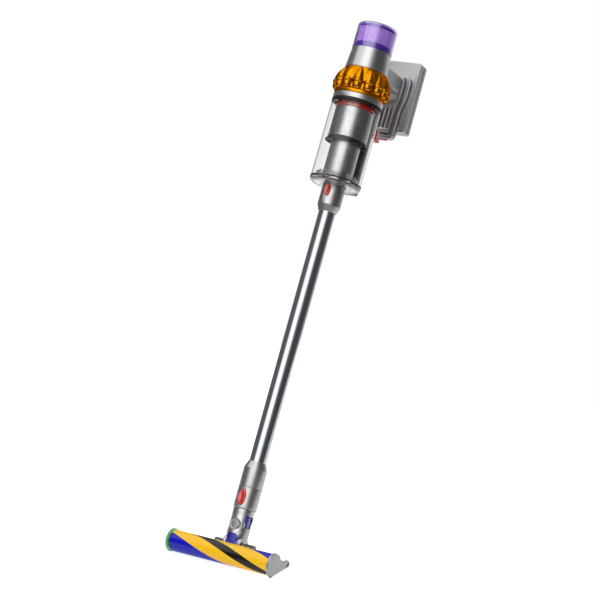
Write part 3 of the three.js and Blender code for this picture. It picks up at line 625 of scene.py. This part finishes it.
CYCLONES = 14
CYCLONE_PHASE = math.radians(4.0)
CYCLONE_FOOT, CYCLONE_TOP, CYCLONE_LIP, CYCLONE_RING = 1022.3, 1085.7, 1050.0, 55.0
RIDGE_HEIGHT, RIDGE_HALF_WIDTH, RIDGE_TAPER, RIDGE_CROWN = 5.0, 12.4, 0.4, 1.2
DOME_ROWS, DOME_SHOULDER, DOME_MOUTH = 56, 60, 49.5  # inside the mouth's radius the dome has no ridges


def ridge_height(z, angle):
    """How far one of the fourteen cones stands out of the dome."""
    pitch = 2 * math.pi / CYCLONES
    off = (angle - CYCLONE_PHASE + pitch / 2) % pitch - pitch / 2
    rise = (z - CYCLONE_LIP) / (CYCLONE_TOP - 2.5 - CYCLONE_LIP)
    if z < CYCLONE_LIP - 3 or rise >= 1:
        return 0.0
    taper = (1 - rise) ** RIDGE_TAPER
    side = min(1.0, abs(off) * DOME_SHOULDER / (RIDGE_HALF_WIDTH * taper))
    return RIDGE_HEIGHT * taper * math.cos(side * math.pi / 2) ** RIDGE_CROWN


def make_cyclones():
    dome = [(59.5, CYCLONE_LIP + 1), (60.4, 1056), (60.0, 1062), (58.2, 1069), (54.8, 1077),
            (50.6, CYCLONE_TOP - 0.6)]

    def dome_radius(z):
        for (r0, z0), (r1, z1) in zip(dome, dome[1:]):
            if z <= z1:
                t = max(0.0, (z - z0) / (z1 - z0))
                return r0 + (r1 - r0) * t
        return dome[-1][0]

    step = (CYCLONE_TOP - 1.6 - CYCLONE_LIP) / DOME_ROWS
    heights = [CYCLONE_LIP + 1 + step * k for k in range(DOME_ROWS + 1)]
    profile = [(44, CYCLONE_FOOT), (57.6, CYCLONE_FOOT, 1.2), (58.8, CYCLONE_FOOT + 8, 3),
               (55, CYCLONE_FOOT + 11, 2), (54, CYCLONE_LIP - 1)]
    profile += [(dome_radius(z), z) for z in heights] + [(49, CYCLONE_TOP), (44, CYCLONE_TOP)]
    body = turned(profile, CYCLONES * 26, lambda r, z, a: r + (ridge_height(z, a) if r > DOME_MOUTH else 0))
    cone = turned([
        (0, 1031), (6.2, 1031, 2), (9.8, 1035.5, 3), (10.4, 1042, 3), (9.8, 1045.2, 1.5), (11.9, 1047.2, 1),
        (12.3, 1049.4, 0.6), (12.3, 1051.6, 0.8), (10.4, 1054.0, 2), (0, 1056.4),
    ], 40)
    cone = moved(cone, Matrix.Translation((CYCLONE_RING, 0, 0)))
    make_piece("cyclones", merged(body, around(CYCLONES, cone, CYCLONE_PHASE)), "handheld", GOLD, "gold",
               "cyclone_pack")


def make_motor_housing():
    shape = turned([(50, 1086.2, 0.5), (50, 1088.4, 0.3), (49.4, 1089.2, 0.3), (45.4, 1135.6, 0.6),
                    (42.4, 1135.6), (46.8, 1086.2)], 160)
    make_piece("motor_housing_shell", shape, "handheld", BRIGHT_NICKEL, "nickel", "motor_housing")


FILTER_FOOT, FILTER_TOP, FILTER_RADIUS, FILTER_RIM = 1136.0, 1196.5, 46.0, 34.0


def make_filter():
    shell = turned([
        (FILTER_RADIUS, FILTER_FOOT, 0.8), (FILTER_RADIUS, FILTER_TOP, 9), (FILTER_RIM, FILTER_TOP, 1),
        (FILTER_RIM, FILTER_TOP - 2.4), (43.6, FILTER_TOP - 2.4, 7), (43.6, FILTER_FOOT),
    ], 160, steps=8)
    piece = make_piece("filter_casing", shell, "filter", PURPLE, "purple", "filter_shell")
    slots = []
    for side in (-1, 1):
        for row in range(4):
            slot = prism("y", round_box(19, 1.5, 0.7, 0, FILTER_FOOT + 17 + 4.6 * row, 3), 40, 50)
            slots.append(moved(slot, Matrix.Rotation(side * 2.3 - math.pi / 2, 4, "Z")))
    shaped(piece, (CUT, merged(*slots)), sharp=40)
    for name, foot, top, outer in (("filter_base_band", FILTER_FOOT + 1, FILTER_FOOT + 13, 43.2),
                                   ("filter_top_band", FILTER_TOP - 10, FILTER_TOP - 3.2, 41.2)):
        band = turned([(outer, foot, 0.6), (outer, top, 1.2), (35, top), (35, foot)], 128)
        make_piece(name, band, "filter", DEEP_PURPLE, "purple")
    pleats = 64
    outline = []
    for i in range(2 * pleats):
        angle = math.pi * i / pleats
        radius = 37.6 if i % 2 else 42.0
        outline.append((radius * math.cos(angle), radius * math.sin(angle)))
    media = prism("z", outline, FILTER_FOOT + 13.4, FILTER_TOP - 10.4)
    piece = make_piece("pleated_media", media, "filter", PAPER, "paper", "filter_media", sharp=20)
    shaped(piece, (CUT, prism("z", disc(35), FILTER_FOOT, FILTER_TOP)), sharp=20)


def make_display():
    housing = turned([
        (0, FILTER_TOP - 7), (30.6, FILTER_TOP - 7), (30.6, 1138), (33.6, 1138),
        (33.6, FILTER_TOP - 0.3, 1.2), (31.2, FILTER_TOP - 0.3, 0.5), (30.6, FILTER_TOP - 1.2, 0.5),
        (0, FILTER_TOP - 1.2),
    ], 128)
    piece = make_piece("display_surround", housing, "handheld", BLACK, "black", "display_housing")
    shaped(piece,
           (CUT, prism("z", disc(20.4, 0, -6, 96), FILTER_TOP - 2.4, FILTER_TOP + 1)),
           (CUT, prism("z", disc(4.9, 0, 22), FILTER_TOP - 9, FILTER_TOP + 1)))
    glass = prism("z", disc(20, 0, -6, 96), FILTER_TOP - 2.3, FILTER_TOP - 0.7, 0.4)
    make_piece("display_glass", glass, "handheld", SCREEN, "screen", "display_screen")
    button = turned([(0, FILTER_TOP - 8), (4.5, FILTER_TOP - 8), (4.5, FILTER_TOP - 0.2, 0.8),
                     (3.2, FILTER_TOP - 0.1, 0.6), (0, FILTER_TOP - 0.7)], 48)
    make_piece("mode_button", shifted(button, y=22), "menu_button", NICKEL, "nickel", "menu_button")


# ---------------------------------------------------------------- bin

LID_FOOT, LID_TOP, BIN_FOOT, BIN_TOP = 815.0, 825.7, 826.0, 1001.5
SHROUD_FOOT, SHROUD_TOP = 922.0, 991.5


def make_bin():
    wall = turned([(58.8, BIN_FOOT, 0.4), (58.8, BIN_FOOT + 3, 0.4), (58.2, BIN_FOOT + 4, 0.4),
                   (57.5, BIN_TOP, 0.5), (55.7, BIN_TOP, 0.5), (56.6, BIN_FOOT)], 192)
    make_piece("bin_wall", wall, "handheld", CLEAR, "clear", "bin")
    disc_shape = turned([(22.8, LID_FOOT, 0.3), (52, LID_FOOT, 1.5), (58.4, LID_FOOT + 3, 1.5),
                         (58.9, 822.6, 0.4), (25.6, 822.6), (25.6, 845, 0.5), (22.8, 845, 0.5)], 160)
    ribs = around(24, prism("x", [(-0.5, LID_FOOT - 0.6), (0.5, LID_FOOT - 0.6), (0.5, LID_FOOT + 1),
                                  (-0.5, LID_FOOT + 1)], 30, 50, 0.2))
    rings = merged(*[turned([(r, LID_FOOT - 0.7, 0.3), (r + 1.4, LID_FOOT - 0.7, 0.3),
                             (r + 1.4, LID_FOOT + 1), (r, LID_FOOT + 1)], 128) for r in (29, 40, 51)])
    make_piece("lid", merged(disc_shape, ribs, rings), "handheld", CLEAR_RIBBED, "clear", "bin_lid")
    seat = turned([(38, 823.2), (49, 823.2), (47.5, 838, 0.8), (45.5, 838, 0.8), (44, 827), (38, 827)], 128)
    fins = around(12, prism("x", [(-0.7, 826), (0.7, 826), (0.7, 841), (-0.7, 841)], 37, 47, 0.3))
    make_piece("lid_inner_seat", merged(seat, fins), "handheld", CLEAR_RIBBED, "clear")
    seal = turned([(59.0, 822.9, 0.6), (59.0, 825.8, 0.6), (55.5, 825.8, 0.3), (54.5, 827.8, 0.5),
                   (50.5, 827.8, 0.5), (50.0, 822.9)], 160)
    make_piece("lid_ring", seal, "handheld", RUBBER, "rubber", "lid_seal")
    tube = turned([(34, 827.2, 0.6), (34, 917.2), (31, 917.2), (31, 827.2)], 128)
    make_piece("inlet_tube", tube, "handheld", NICKEL, "dark_metal", "inner_tube")


def make_shroud():
    body = turned([(44.5, SHROUD_FOOT, 0.4), (44.5, SHROUD_TOP), (41.5, SHROUD_TOP), (41.5, SHROUD_FOOT)],
                  160)
    make_piece("shroud_mesh", body, "handheld", PERFORATED, "inner_silver", "shroud")
    hem = turned([(44.6, SHROUD_FOOT + 0.2, 0.5), (45.4, SHROUD_FOOT + 0.8, 0.4), (45.4, SHROUD_FOOT + 3.6,
                                                                                   0.4),
                  (44.6, SHROUD_FOOT + 4.4, 0.4)], 160)
    make_piece("shroud_hem", hem, "handheld", BRIGHT_NICKEL, "nickel")
    ring = turned([(45.6, SHROUD_TOP + 0.3, 0.4), (45.6, 1003.8, 0.4), (41, 1003.8),
                   (41, SHROUD_TOP + 0.3)], 160)
    make_piece("red_ring", ring, "handheld", RED, "red", "shroud_ring")
    skirt = turned([(44.4, SHROUD_FOOT - 0.3, 0.5), (46.2, 918.6, 1), (49.5, 913.8, 0.6),
                    (48.4, 912.9, 0.4), (45, 916.4, 1), (42, 917.6), (34.3, 917.6),
                    (34.3, SHROUD_FOOT - 0.3)], 160)
    make_piece("wiper", skirt, "handheld", RUBBER, "rubber", "wiper_skirt")


def make_collar():
    band = turned([(58.2, 1010.4, 0.6), (58.2, 1021.9, 0.8), (42, 1021.9), (42, 1004.4), (46, 1004.4, 0.5),
                   (50, 1010.4, 0.5)], 192)
    make_piece("collar_band", band, "handheld", BRIGHT_NICKEL, "nickel", "cyclone_collar")
    seal = turned([(58.2, 1003, 0.8), (58.2, 1009.9, 0.8), (51, 1009.9), (47.2, 1004.6), (50, 1002.6),
                   (55.6, 1001.8), (57.6, 1001.8)], 192)
    make_piece("top_seal", seal, "handheld", RUBBER, "rubber", "bin_seal")


RUNNER = {"half": 20.5, "inner": 60.5, "outer": 77, "foot": 818, "top": 1021}


def make_runner():
    half, inner, outer = RUNNER["half"], RUNNER["inner"], RUNNER["outer"]
    foot, top = RUNNER["foot"], RUNNER["top"]
    rail = prism("y", round_box(2 * half, top - foot, 4, 0, (top + foot) / 2), inner, outer, 1.2)
    piece = make_piece("runner_rail", rail, "handheld", BLACK, "black", "bin_runner")
    pocket = prism("y", round_box(2 * half - 6, 60, 3, 0, 960), outer - 8, outer + 4)
    grooves = merged(*[prism("y", round_box(1.6, 80, 0.7, x, 870), outer - 1, outer + 2) for x in (-8, -4,
                                                                                                   4, 8)])
    bracket = prism("z", round_box(2 * half, 9, 1.5, 0, 58.5), 1011.5, 1020.3)
    shaped(piece, (CUT, pocket), (CUT, grooves), (ADD, bracket), (CUT, prism("z", disc(58.6, steps=128),
                                                                             1000, 1030)), bevel=0.3)
    pad_outline = rounded([(78, 956.4, 1), (90, 953.2, 3), (100, 956, 2), (100, 961.5, 3), (92, 975, 6),
                           (86, 981, 2), (78, 981, 1)], 4)
    pad = make_piece("catch_pad", prism("x", pad_outline, -25, 25, 1.5), "bin_catch", RED, "red", "bin_catch")
    ribs = merged(*[prism("x", disc(0.8, 98.6 - 2.2 * i, 964.5 + 3.6 * i, 12), -21, 21) for i in range(4)])
    stem = prism("y", round_box(16, 14, 2, 0, 969), 71, 79)
    shaped(pad, (CUT, ribs), (ADD, stem), bevel=0.25)


# ---------------------------------------------------------------- handle and battery

GRIP_Z, GRIP_HALF_WIDTH, GRIP_HALF_DEPTH = 1111.0, 20.0, 22.5
RAISED = 151.0  # how far the battery's raised face stands from the axis


def make_handle():
    column = prism("y", round_box(2 * GRIP_HALF_WIDTH, 2 * GRIP_HALF_DEPTH, 14, 0, GRIP_Z, 10), 40, RAISED)
    piece = make_piece("handle", column, "handheld", SATIN_NICKEL, "nickel", "handle_shell")
    saddle = prism("y", round_box(50, 44, 12, 0, 1111.5, 8), 30, 58, 3)
    flare = prism("x", rounded([(RAISED - 1, 1060), (RAISED - 1, 1092), (136, 1092), (130, 1090, 4),
                                (140, 1078, 10)], 8), -17, 17, 3)
    foot_outline = rounded(mirrored([(0.01, 998), (13, 998, 4), (16, 1001, 4), (18, 1062, 18), (24, 1084, 14),
                                     (24, 1124, 10), (18, 1134, 6), (0.01, 1134)]), 5)
    foot = prism("y", foot_outline, RAISED - 9, RAISED + 9.5, 2)
    bore = turned([(0, 1040), (50.4, 1040), (50.4, 1089), (45.7, 1136.2), (0, 1136.2)], 128)
    grooves = merged(*[prism("y", round_box(5.4, 50, 2.6, x, 1032), RAISED - 14,
                             RAISED - 4.5) for x in (-10.5, 0, 10.5)])
    slot = prism("y", round_box(17, 22, 2, 0, 1086), 65.5, 92.5)
    shaped(piece, (ADD, saddle), (ADD, foot), (ADD, flare), (CUT, grooves), (CUT, slot), (CUT, bore),
           bevel=0.5)
    lever = rounded([(66, 1094), (66, 1082, 2), (79, 1076.5, 8), (92, 1076.5, 2), (92, 1094)], 5)
    make_piece("trigger_lever", prism("x", lever, -8, 8, 1.5), "trigger", RED, "red", "trigger")


BATTERY_HALF, BATTERY_FOOT, BATTERY_TOP = 45.0, 1008.0, 1179.0
SLAB_INNER, SLAB_SPLIT, SLAB_OUTER = 163.0, 178.0, 195.0


def slab_outline(inset=0.0):
    width, height = 2 * (BATTERY_HALF - inset), BATTERY_TOP - BATTERY_FOOT - 2 * inset
    return round_box(width, height, 6 - inset, 0, (BATTERY_TOP + BATTERY_FOOT) / 2, 8)


def make_battery():
    raised = rounded(mirrored([(0.01, 985), (20, 985, 4), (27, 992, 5), (29, 1062, 16), (36, 1086, 14),
                               (36, 1128, 12), (28, 1140, 8), (0.01, 1140)]), 6)
    pocket = rounded(mirrored([(0.01, 997), (13.6, 997, 4), (16.8, 1000.6, 4), (18.8, 1061.8, 18),
                               (24.8, 1083.8, 14), (24.8, 1124.4, 10), (18.4, 1134.8, 6), (0.01, 1134.8)]),
                     5)
    piece = make_piece("battery_front", prism("y", slab_outline(), SLAB_INNER, SLAB_SPLIT - 0.2, 1.4),
                       "battery", SATIN_NICKEL, "nickel", "battery_case")
    release = prism("y", round_box(22, 16, 2, 0, 986), 156, 163.2)
    shaped(piece, (ADD, prism("y", raised, RAISED, SLAB_INNER + 4, 3)), (CUT, prism("y", pocket, RAISED - 4,
                                                                                    162)), (CUT, release),
           bevel=0.4)
    back = prism("y", slab_outline(), SLAB_SPLIT + 0.2, SLAB_OUTER, 3, 6)
    make_piece("battery_back", back, "battery", SATIN_NICKEL, "nickel", "battery_cover")
    button = prism("y", round_box(21, 9, 2, 0, 987), 156.5, 162.7, 0.8)
    make_piece("release_button", button, "battery_release", RED, "red", "battery_release")
    for side, word in ((-1, "left"), (1, "right")):
        screw = turned([(0, 0), (2.3, 0), (2.3, 1.1, 0.4), (1.0, 1.2), (0.9, 0.6), (0, 0.6)], 32)
        turn = Matrix.Rotation(math.pi / 2, 4, "X")
        shape = moved(moved(screw, turn), Matrix.Translation((side * 31, RAISED - 0.1, 1112)))
        make_piece(f"case_screw_{word}", shape, "battery", DARK_METAL, "dark_metal", f"battery_screw_{word}")


# ---------------------------------------------------------------- wand

WAND_RADIUS, ADAPTOR_RADIUS, COLLAR_RADIUS = 19.2, 26.3, 26.5


def button_shape(z, half_width, half_height, depth):
    """An oval release button with a thumb scoop running along it."""
    rows, columns = 24, 16
    vertices, faces = [], []
    for layer in range(2):
        for i in range(rows):
            angle = 2 * math.pi * i / rows
            for k in range(columns + 1):
                t = k / columns
                x = half_width * t * math.cos(angle)
                v = half_height * t * math.sin(angle)
                scoop = 1.3 * (1 - min(1, abs(x) / (0.8 * half_width))) * (1 - (v / half_height) ** 2)
                edge = 0.9 * max(0.0, (t - 0.8) / 0.2) ** 2
                y = -29.2 + scoop + edge if layer == 0 else depth
                vertices.append((x, y, z + v))
    ring = columns + 1
    for layer in range(2):
        start = layer * rows * ring
        for i in range(rows):
            j = (i + 1) % rows
            for k in range(columns):
                faces.append((start + i * ring + k, start + j * ring + k, start + j * ring + k + 1,
                              start + i * ring + k + 1))
    for i in range(rows):
        j = (i + 1) % rows
        faces.append((i * ring + columns, j * ring + columns, (rows + j) * ring + columns,
                      (rows + i) * ring + columns))
    return vertices, faces


def oval(half_width, half_height, z, grow):
    return [((half_width + grow) * math.cos(2 * math.pi * k / 48),
             z + (half_height + grow) * math.sin(2 * math.pi * k / 48)) for k in range(48)]


def make_wand():
    adaptor = turned([(19.5, 752, 0.3), (20.6, 752, 0.4), (25.6, 765, 0.8), (26.3, 767.4, 0.8),
                      (26.3, 814.4, 0.6), (21.8, 814.4), (21.8, 846, 0.5), (19.6, 846)], 160)
    piece = make_piece("adaptor", adaptor, "wand", NICKEL, "nickel", "wand_adaptor")
    shaped(piece, (CUT, prism("y", oval(7.5, 14.5, 799, 0.3), -40, -20)), bevel=0.25)
    tube = turned([(WAND_RADIUS, 120), (WAND_RADIUS, 806), (17.6, 806), (17.6, 120)], 128)
    make_piece("wand_pipe", tube, "wand", WAND_PAINT, "wand_paint", "wand_tube")
    collar = turned([(COLLAR_RADIUS, 113.3, 0.4), (COLLAR_RADIUS, 156.4, 0.8), (25.6, 158.6, 0.8),
                     (20.4, 172, 0.5), (19.5, 172), (19.5, 113.3)], 160)
    make_piece("lower_collar", collar, "wand", NICKEL, "nickel", "wand_collar")
    socket = turned([(25.6, 65.4, 0.6), (COLLAR_RADIUS, 67.4, 0.8), (COLLAR_RADIUS, 112.7, 0.4),
                     (22, 112.7), (22, 65.4)], 160)
    piece = make_piece("lower_socket", socket, "wand", NICKEL, "nickel", "wand_socket")
    shaped(piece, (CUT, prism("y", oval(9, 17.5, 89, 0.3), -40, -20)), bevel=0.25)
    make_piece("upper_release", button_shape(799, 7.5, 14.5, -22.4), "upper_button", RED, "red",
               "upper_button", sharp=50)
    make_piece("lower_release", button_shape(89, 9, 17.5, -23.7), "lower_button", RED, "red", "lower_button",
               sharp=50)


# ---------------------------------------------------------------- neck

NECK_RADIUS, NECK_PITCH, STEM_TOP, PIVOT_CAP = 24.5, -12.0, 26.0, 12.6
CHEEK_RADIUS, CHEEK_INNER, LUG_RADIUS, LUG_INNER, EAR_INNER = 20.6, 16.3, 18.8, 12.0, 14.3


def cheek_outline(grow=0.0, top=54.0):
    """Round below about the lean pivot, straight above."""
    radius = CHEEK_RADIUS + grow
    arc = [math.pi + math.pi * k / 40 for k in range(41)]
    return [(radius * math.cos(a), LEAN_PIVOT + radius * math.sin(a)) for a in arc] + [(radius, top),
                                                                                       (-radius, top)]


def arch_outline(inset=0.0):
    half = EAR_INNER - inset
    return rounded([(-half, -30), (half, -30), (half, 10.6 - inset, 15), (-half, 10.6 - inset, 15)], 10)


def both_sides(axis, outline, near, far):
    return merged(prism(axis, outline, near, far), prism(axis, outline, -far, -near))


def make_neck_top():
    blank = turned([(0, 5), (NECK_RADIUS, 5), (NECK_RADIUS, 53.5), (0, 53.5)], 128)
    piece = make_piece("neck_barrel", blank, "neck_top", NICKEL, "nickel", "neck_upper")
    barrel = turned([
        (14, 52), (NECK_RADIUS, 52), (NECK_RADIUS, 65, 0.5), (21.4, 65), (21.4, 100, 1), (19, 108), (14, 108),
    ], 128)
    between = prism("x", [(-CHEEK_INNER, -5), (CHEEK_INNER, -5), (CHEEK_INNER, 52), (-CHEEK_INNER, 52)],
                    -30, 30)
    seats = both_sides("y", disc(PIVOT_CAP + 0.5, 0, LEAN_PIVOT, 96), NECK_RADIUS - 3.8, 40)
    shaped(piece, (KEEP, prism("y", cheek_outline(), -40, 40)), (CUT, between), (ADD, barrel), (CUT, seats),
           (CUT, prism("z", disc(14), 0, 120)), bevel=0.6)
    face = NECK_RADIUS + 0.9
    for side, word in ((-1, "front"), (1, "back")):
        cap = turned([(0, 12.4), (4, 12.4), (4, 21), (PIVOT_CAP - 0.3, 21, 0.3), (PIVOT_CAP - 0.3, face,
                                                                                  0.6), (11.4, face, 0.4),
                      (10.8, face - 1.4, 0.3), (9.6, face - 1.6, 0.4), (0, face - 0.8)], 96)
        turn = Matrix.Rotation(-side * math.pi / 2, 4, "X")
        shape = moved(moved(cap, turn), Matrix.Translation((0, 0, LEAN_PIVOT)))
        make_piece(f"pivot_disc_{word}", shape, "neck_top", BRIGHT_NICKEL, "nickel", f"pivot_cap_{word}")


def make_neck_foot():
    stem = turned([
        (0, -8), (19, -8, 2), (22, -4, 4), (NECK_RADIUS, 5, 3), (NECK_RADIUS, STEM_TOP, 0.6), (0, STEM_TOP),
    ], 128)
    piece = make_piece("neck_fork", stem, "neck_foot", NICKEL, "nickel", "neck_lower")
    drum = prism("x", disc(19.5, 0, NECK_PITCH, 64), -22, 22, 1)
    lugs = prism("y", disc(LUG_RADIUS, 0, LEAN_PIVOT, 96), 0.3 - CHEEK_INNER, CHEEK_INNER - 0.3)
    cheek_room = both_sides("y", cheek_outline(0.7), CHEEK_INNER - 0.3, 40)
    passage = prism("z", round_box(40.6, 2 * LUG_INNER, 2), -50, 60)
    drum_room = prism("x", disc(19.3, 0, NECK_PITCH, 64), -EAR_INNER, EAR_INNER)
    below = prism("x", [(-30, -50), (30, -50), (30, -4), (-30, -4)], -EAR_INNER, EAR_INNER)
    arch = prism("y", arch_outline(), -40, 1 - LUG_INNER)
    shaped(piece, (ADD, drum), (ADD, lugs), (CUT, cheek_room), (CUT, passage), (CUT, drum_room), (CUT, below),
           (CUT, arch), (CUT, prism("x", disc(4.4, 0, NECK_PITCH), -30, 30)), bevel=0.6)


HOSE_FOOT, HOSE_TOP, HOSE_RIB = -5.0, 51.6, 5.4


def ribbed_hose():
    """An oval hose whose section swells at every rib."""
    rows = 84
    vertices, faces = [], []
    for row in range(rows + 1):
        z = HOSE_FOOT + (HOSE_TOP - HOSE_FOOT) * row / rows
        dip = 1.1 * (0.5 - 0.5 * math.cos(2 * math.pi * z / HOSE_RIB)) ** 2
        ring = round_box(40 - 2 * dip, 23.4 - 2 * dip, 9 - dip, steps=8)
        vertices += [(x, y, z) for x, y in ring]
    count = len(vertices) // (rows + 1)
    for row in range(rows):
        for k in range(count):
            m = (k + 1) % count
            faces.append((row * count + k, row * count + m, (row + 1) * count + m, (row + 1) * count + k))
    return vertices, faces + [tuple(range(count)), tuple(range(rows * count, (rows + 1) * count))]


def make_neck_hose():
    knuckle = prism("x", disc(19, 0, NECK_PITCH, 64), 0.3 - EAR_INNER, EAR_INNER - 0.3, 1)
    make_piece("hose_knuckle", knuckle, "neck_foot", HOSE_BLUE, "blue_clear")
    profile = [(12, -8)]
    for k in range(4):
        z = -8 + 4.6 * k
        profile += [(22.6, z, 1), (22.6, z + 2.6, 1), (20.9, z + 3.1, 0.5), (20.9, z + 4.2, 0.5)]
    profile += [(12, profile[-1][1])]
    front = make_piece("hose_front", turned(profile, 96), "neck_foot", HOSE_BLUE, "blue_clear")
    shaped(front, (KEEP, prism("y", arch_outline(0.3), -40, -11.5)))
    hose = make_piece("neck_air_hose", ribbed_hose(), None, HOSE_BLUE, "blue_clear", "neck_hose", sharp=50)
    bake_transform(hose)


# ---------------------------------------------------------------- floor head

HEAD_HALF, CAP_WIDTH, TAIL = 133.0, 7.4, 62.0


def curve(start, control, end, steps=8):
    start, control, end = Vector(start), Vector(control), Vector(end)
    ts = [k / steps for k in range(steps + 1)]
    return [tuple(start * (1 - t) ** 2 + control * 2 * t * (1 - t) + end * t * t) for t in ts]


def cap_outline(inset=0.0):
    """Round about the roller, flat below, with a low tail behind."""
    radius, base, tail = 26 - inset, 1 + inset, TAIL - inset
    low = math.pi + math.asin((ROLLER_RADIUS - base) / radius)
    high = math.radians(46)
    arc = [high + (low - high) * k / 48 for k in range(49)]
    points = [(radius * math.cos(a), ROLLER_RADIUS + radius * math.sin(a)) for a in arc]
    points += curve((tail - 3, base), (tail, 3), (tail, 8))
    points += curve((tail - 4, 16 - inset), (38, 19 - inset), (26 - inset, 24))
    return points + curve((26 - inset, 24), (25 - inset, 34), points[0])[1:-1]


def make_end_caps():
    outer, inner = HEAD_HALF, HEAD_HALF - CAP_WIDTH + 0.3
    piece = make_piece("right_cap", prism("x", cap_outline(0.6), inner + 3.4, outer, 1.2), "head", CAP_GREY,
                       "cap_grey", "end_cap_right")
    notch_outline = rounded([(43, 3.6, 1), (58.5, 3.6, 3), (59, 10, 3), (54, 13.4, 3)], 5)
    shaped(piece, (CUT, prism("x", notch_outline, outer - 3, outer + 3)), bevel=0.3)
    # A black sheet at the floor of the shallow notch: painted shade, so that the notch reads as a dark hole.
    notch_shade_sheet = prism("x", notch_outline, outer - 3.2, outer - 2.6)
    make_piece("right_cap_notch_shade", notch_shade_sheet, "head", BLACK, "black")
    edge_on_shade = prism("x", cap_outline(0.0), inner, inner + 3.2, 0.5)
    make_piece("right_cap_rim", edge_on_shade, "head", BRIGHT_NICKEL, "nickel")
    make_piece("left_cap", prism("x", cap_outline(0.0), -outer, -inner, 1.0), "head", GREEN, "green_clear",
               "end_cap_left")
    foot = prism("x", round_box(6, 2.4, 0.8, -12, 1.6), outer - 6.5, outer - 1)
    make_piece("right_foot_pad", foot, "head", RUBBER, "rubber")


def make_roller():
    profile = [(ROLLER_RADIUS - 2.6, -124.5), (ROLLER_RADIUS - 0.4, -124.5, 0.8), (ROLLER_RADIUS, -122.5, 1)]
    profile += [(ROLLER_RADIUS, 122.5, 1), (ROLLER_RADIUS - 0.4, 124.5, 0.8), (ROLLER_RADIUS - 2.6, 124.5)]
    make_piece("roller_nap", turned(profile, 128), "roller", NAP, "nap", "roller_sleeve")


HINGE_FROM, HINGE_TO, HINGE_RADIUS = 27.0, 50.0, 6.4


def make_housing():
    outline = [(16, 41, 1), (22, 33, 4), (27, 25.6, 4), (44, 18.6, 8), (56, 13.4, 3), (61, 8, 2), (61, 5),
               (16, 5)]
    half = 125.4
    piece = make_piece("rear_housing", prism("x", rounded(outline, 5), -half, half), "head", NICKEL, "nickel",
                       "head_housing")
    pitch = HEAD.inverted() @ Vector(joints["neck_pitch"]["pos_m"]) / MM
    boss = disc(HINGE_RADIUS, pitch.y, pitch.z)
    web = [(26, 5), (pitch.y + HINGE_RADIUS, 5), (pitch.y + HINGE_RADIUS, pitch.z), (26, pitch.z)]
    hollow = [(28, 22.4), (43, 16), (55, 10.8), (58.4, 6.6), (58.4, 1), (28, 1)]
    rooms = both_sides("x", hollow, HINGE_TO + 2.4, half - 2.4)
    neck_room = prism("x", [(28.5, -5), (80, -5), (80, 80), (28.5, 80)], -HINGE_FROM, HINGE_FROM)
    neck_round = prism("x", disc(30, pitch.y, pitch.z), -HINGE_FROM - 0.01, HINGE_FROM + 0.01)
    mouth = prism("x", [(15, 9), (40, 9), (40, 24), (15, 24)], -26, 26)
    hinges = merged(both_sides("x", boss, HINGE_FROM, HINGE_TO), both_sides("x", web, HINGE_FROM, HINGE_TO))
    make_piece("hinge_bosses", hinges, "head", BLACK, "black")
    shaped(piece, (CUT, prism("x", disc(25.5, 0, ROLLER_RADIUS, 96), -140, 140)), (CUT, rooms),
           (CUT, neck_room), (CUT, neck_round), (CUT, mouth), bevel=0.4)


def finish_cad_nodes():
    """Materials for the CAD pieces that stay as they are."""
    finishes = {DARK_METAL: ("motor", "roller_core", "roller_motor"), STEEL: ("impeller", "catch_spring",
                                                                              "trigger_spring",
                                                                              "roller_bearing",
                                                                              "neck_pin_left",
                                                                              "neck_pin_right"),
                RUBBER: ("motor_mount", "wheel_left", "wheel_right"), BLACK: ("trigger_switch",
                                                                              "charging_port", "sole_plate",
                                                                              "light_module"),
                CIRCUIT: ("control_board",), CELL_WRAP: ("battery_cells",),}
    for material, names in finishes.items():
        for name in names:
            node = frame["nodes"][name]
            node.data.materials.clear()
            node.data.materials.append(material)


FLOOR_HALF, FLOOR_DROP = 1.5, 0.0004  # metres; the drop keeps the floor clear of the sole


def make_floor():
    mesh = bpy.data.meshes.new("floor")
    corners = [(FLOOR_HALF * x, FLOOR_HALF * y, 0) for x, y in ((-1, -1), (1, -1), (1, 1), (-1, 1))]
    mesh.from_pydata(corners, [], [(0, 1, 2, 3)])
    floor = bpy.data.objects.new("floor", mesh)
    floor.location = FLOOR_POINT - Vector((0, 0, FLOOR_DROP))
    bpy.context.scene.collection.objects.link(floor)
    surface = Surface("floor", Roughness=0.8, Specular_IOR_Level=0.0, Emission_Color=(1, 1, 1, 1),
                      Emission_Strength=0.75)
    surface.colour(surface.ramp(surface.noise(400), [(0.3, 0.50), (0.7, 0.52)]))
    mesh.materials.append(surface.material)


make_camera()
make_world()
make_floor()
add_light("key", (-0.5, -1.0, 1.6), 3.0, 2.4, 6)
for make in (make_cyclones, make_motor_housing, make_filter, make_display, make_bin, make_shroud,
             make_collar, make_runner, make_handle, make_battery, make_wand, make_neck_top, make_neck_foot,
             make_neck_hose, make_end_caps, make_roller, make_housing,):
    make()
finish_cad_nodes()

bpy.context.scene.view_settings.view_transform = "Standard"
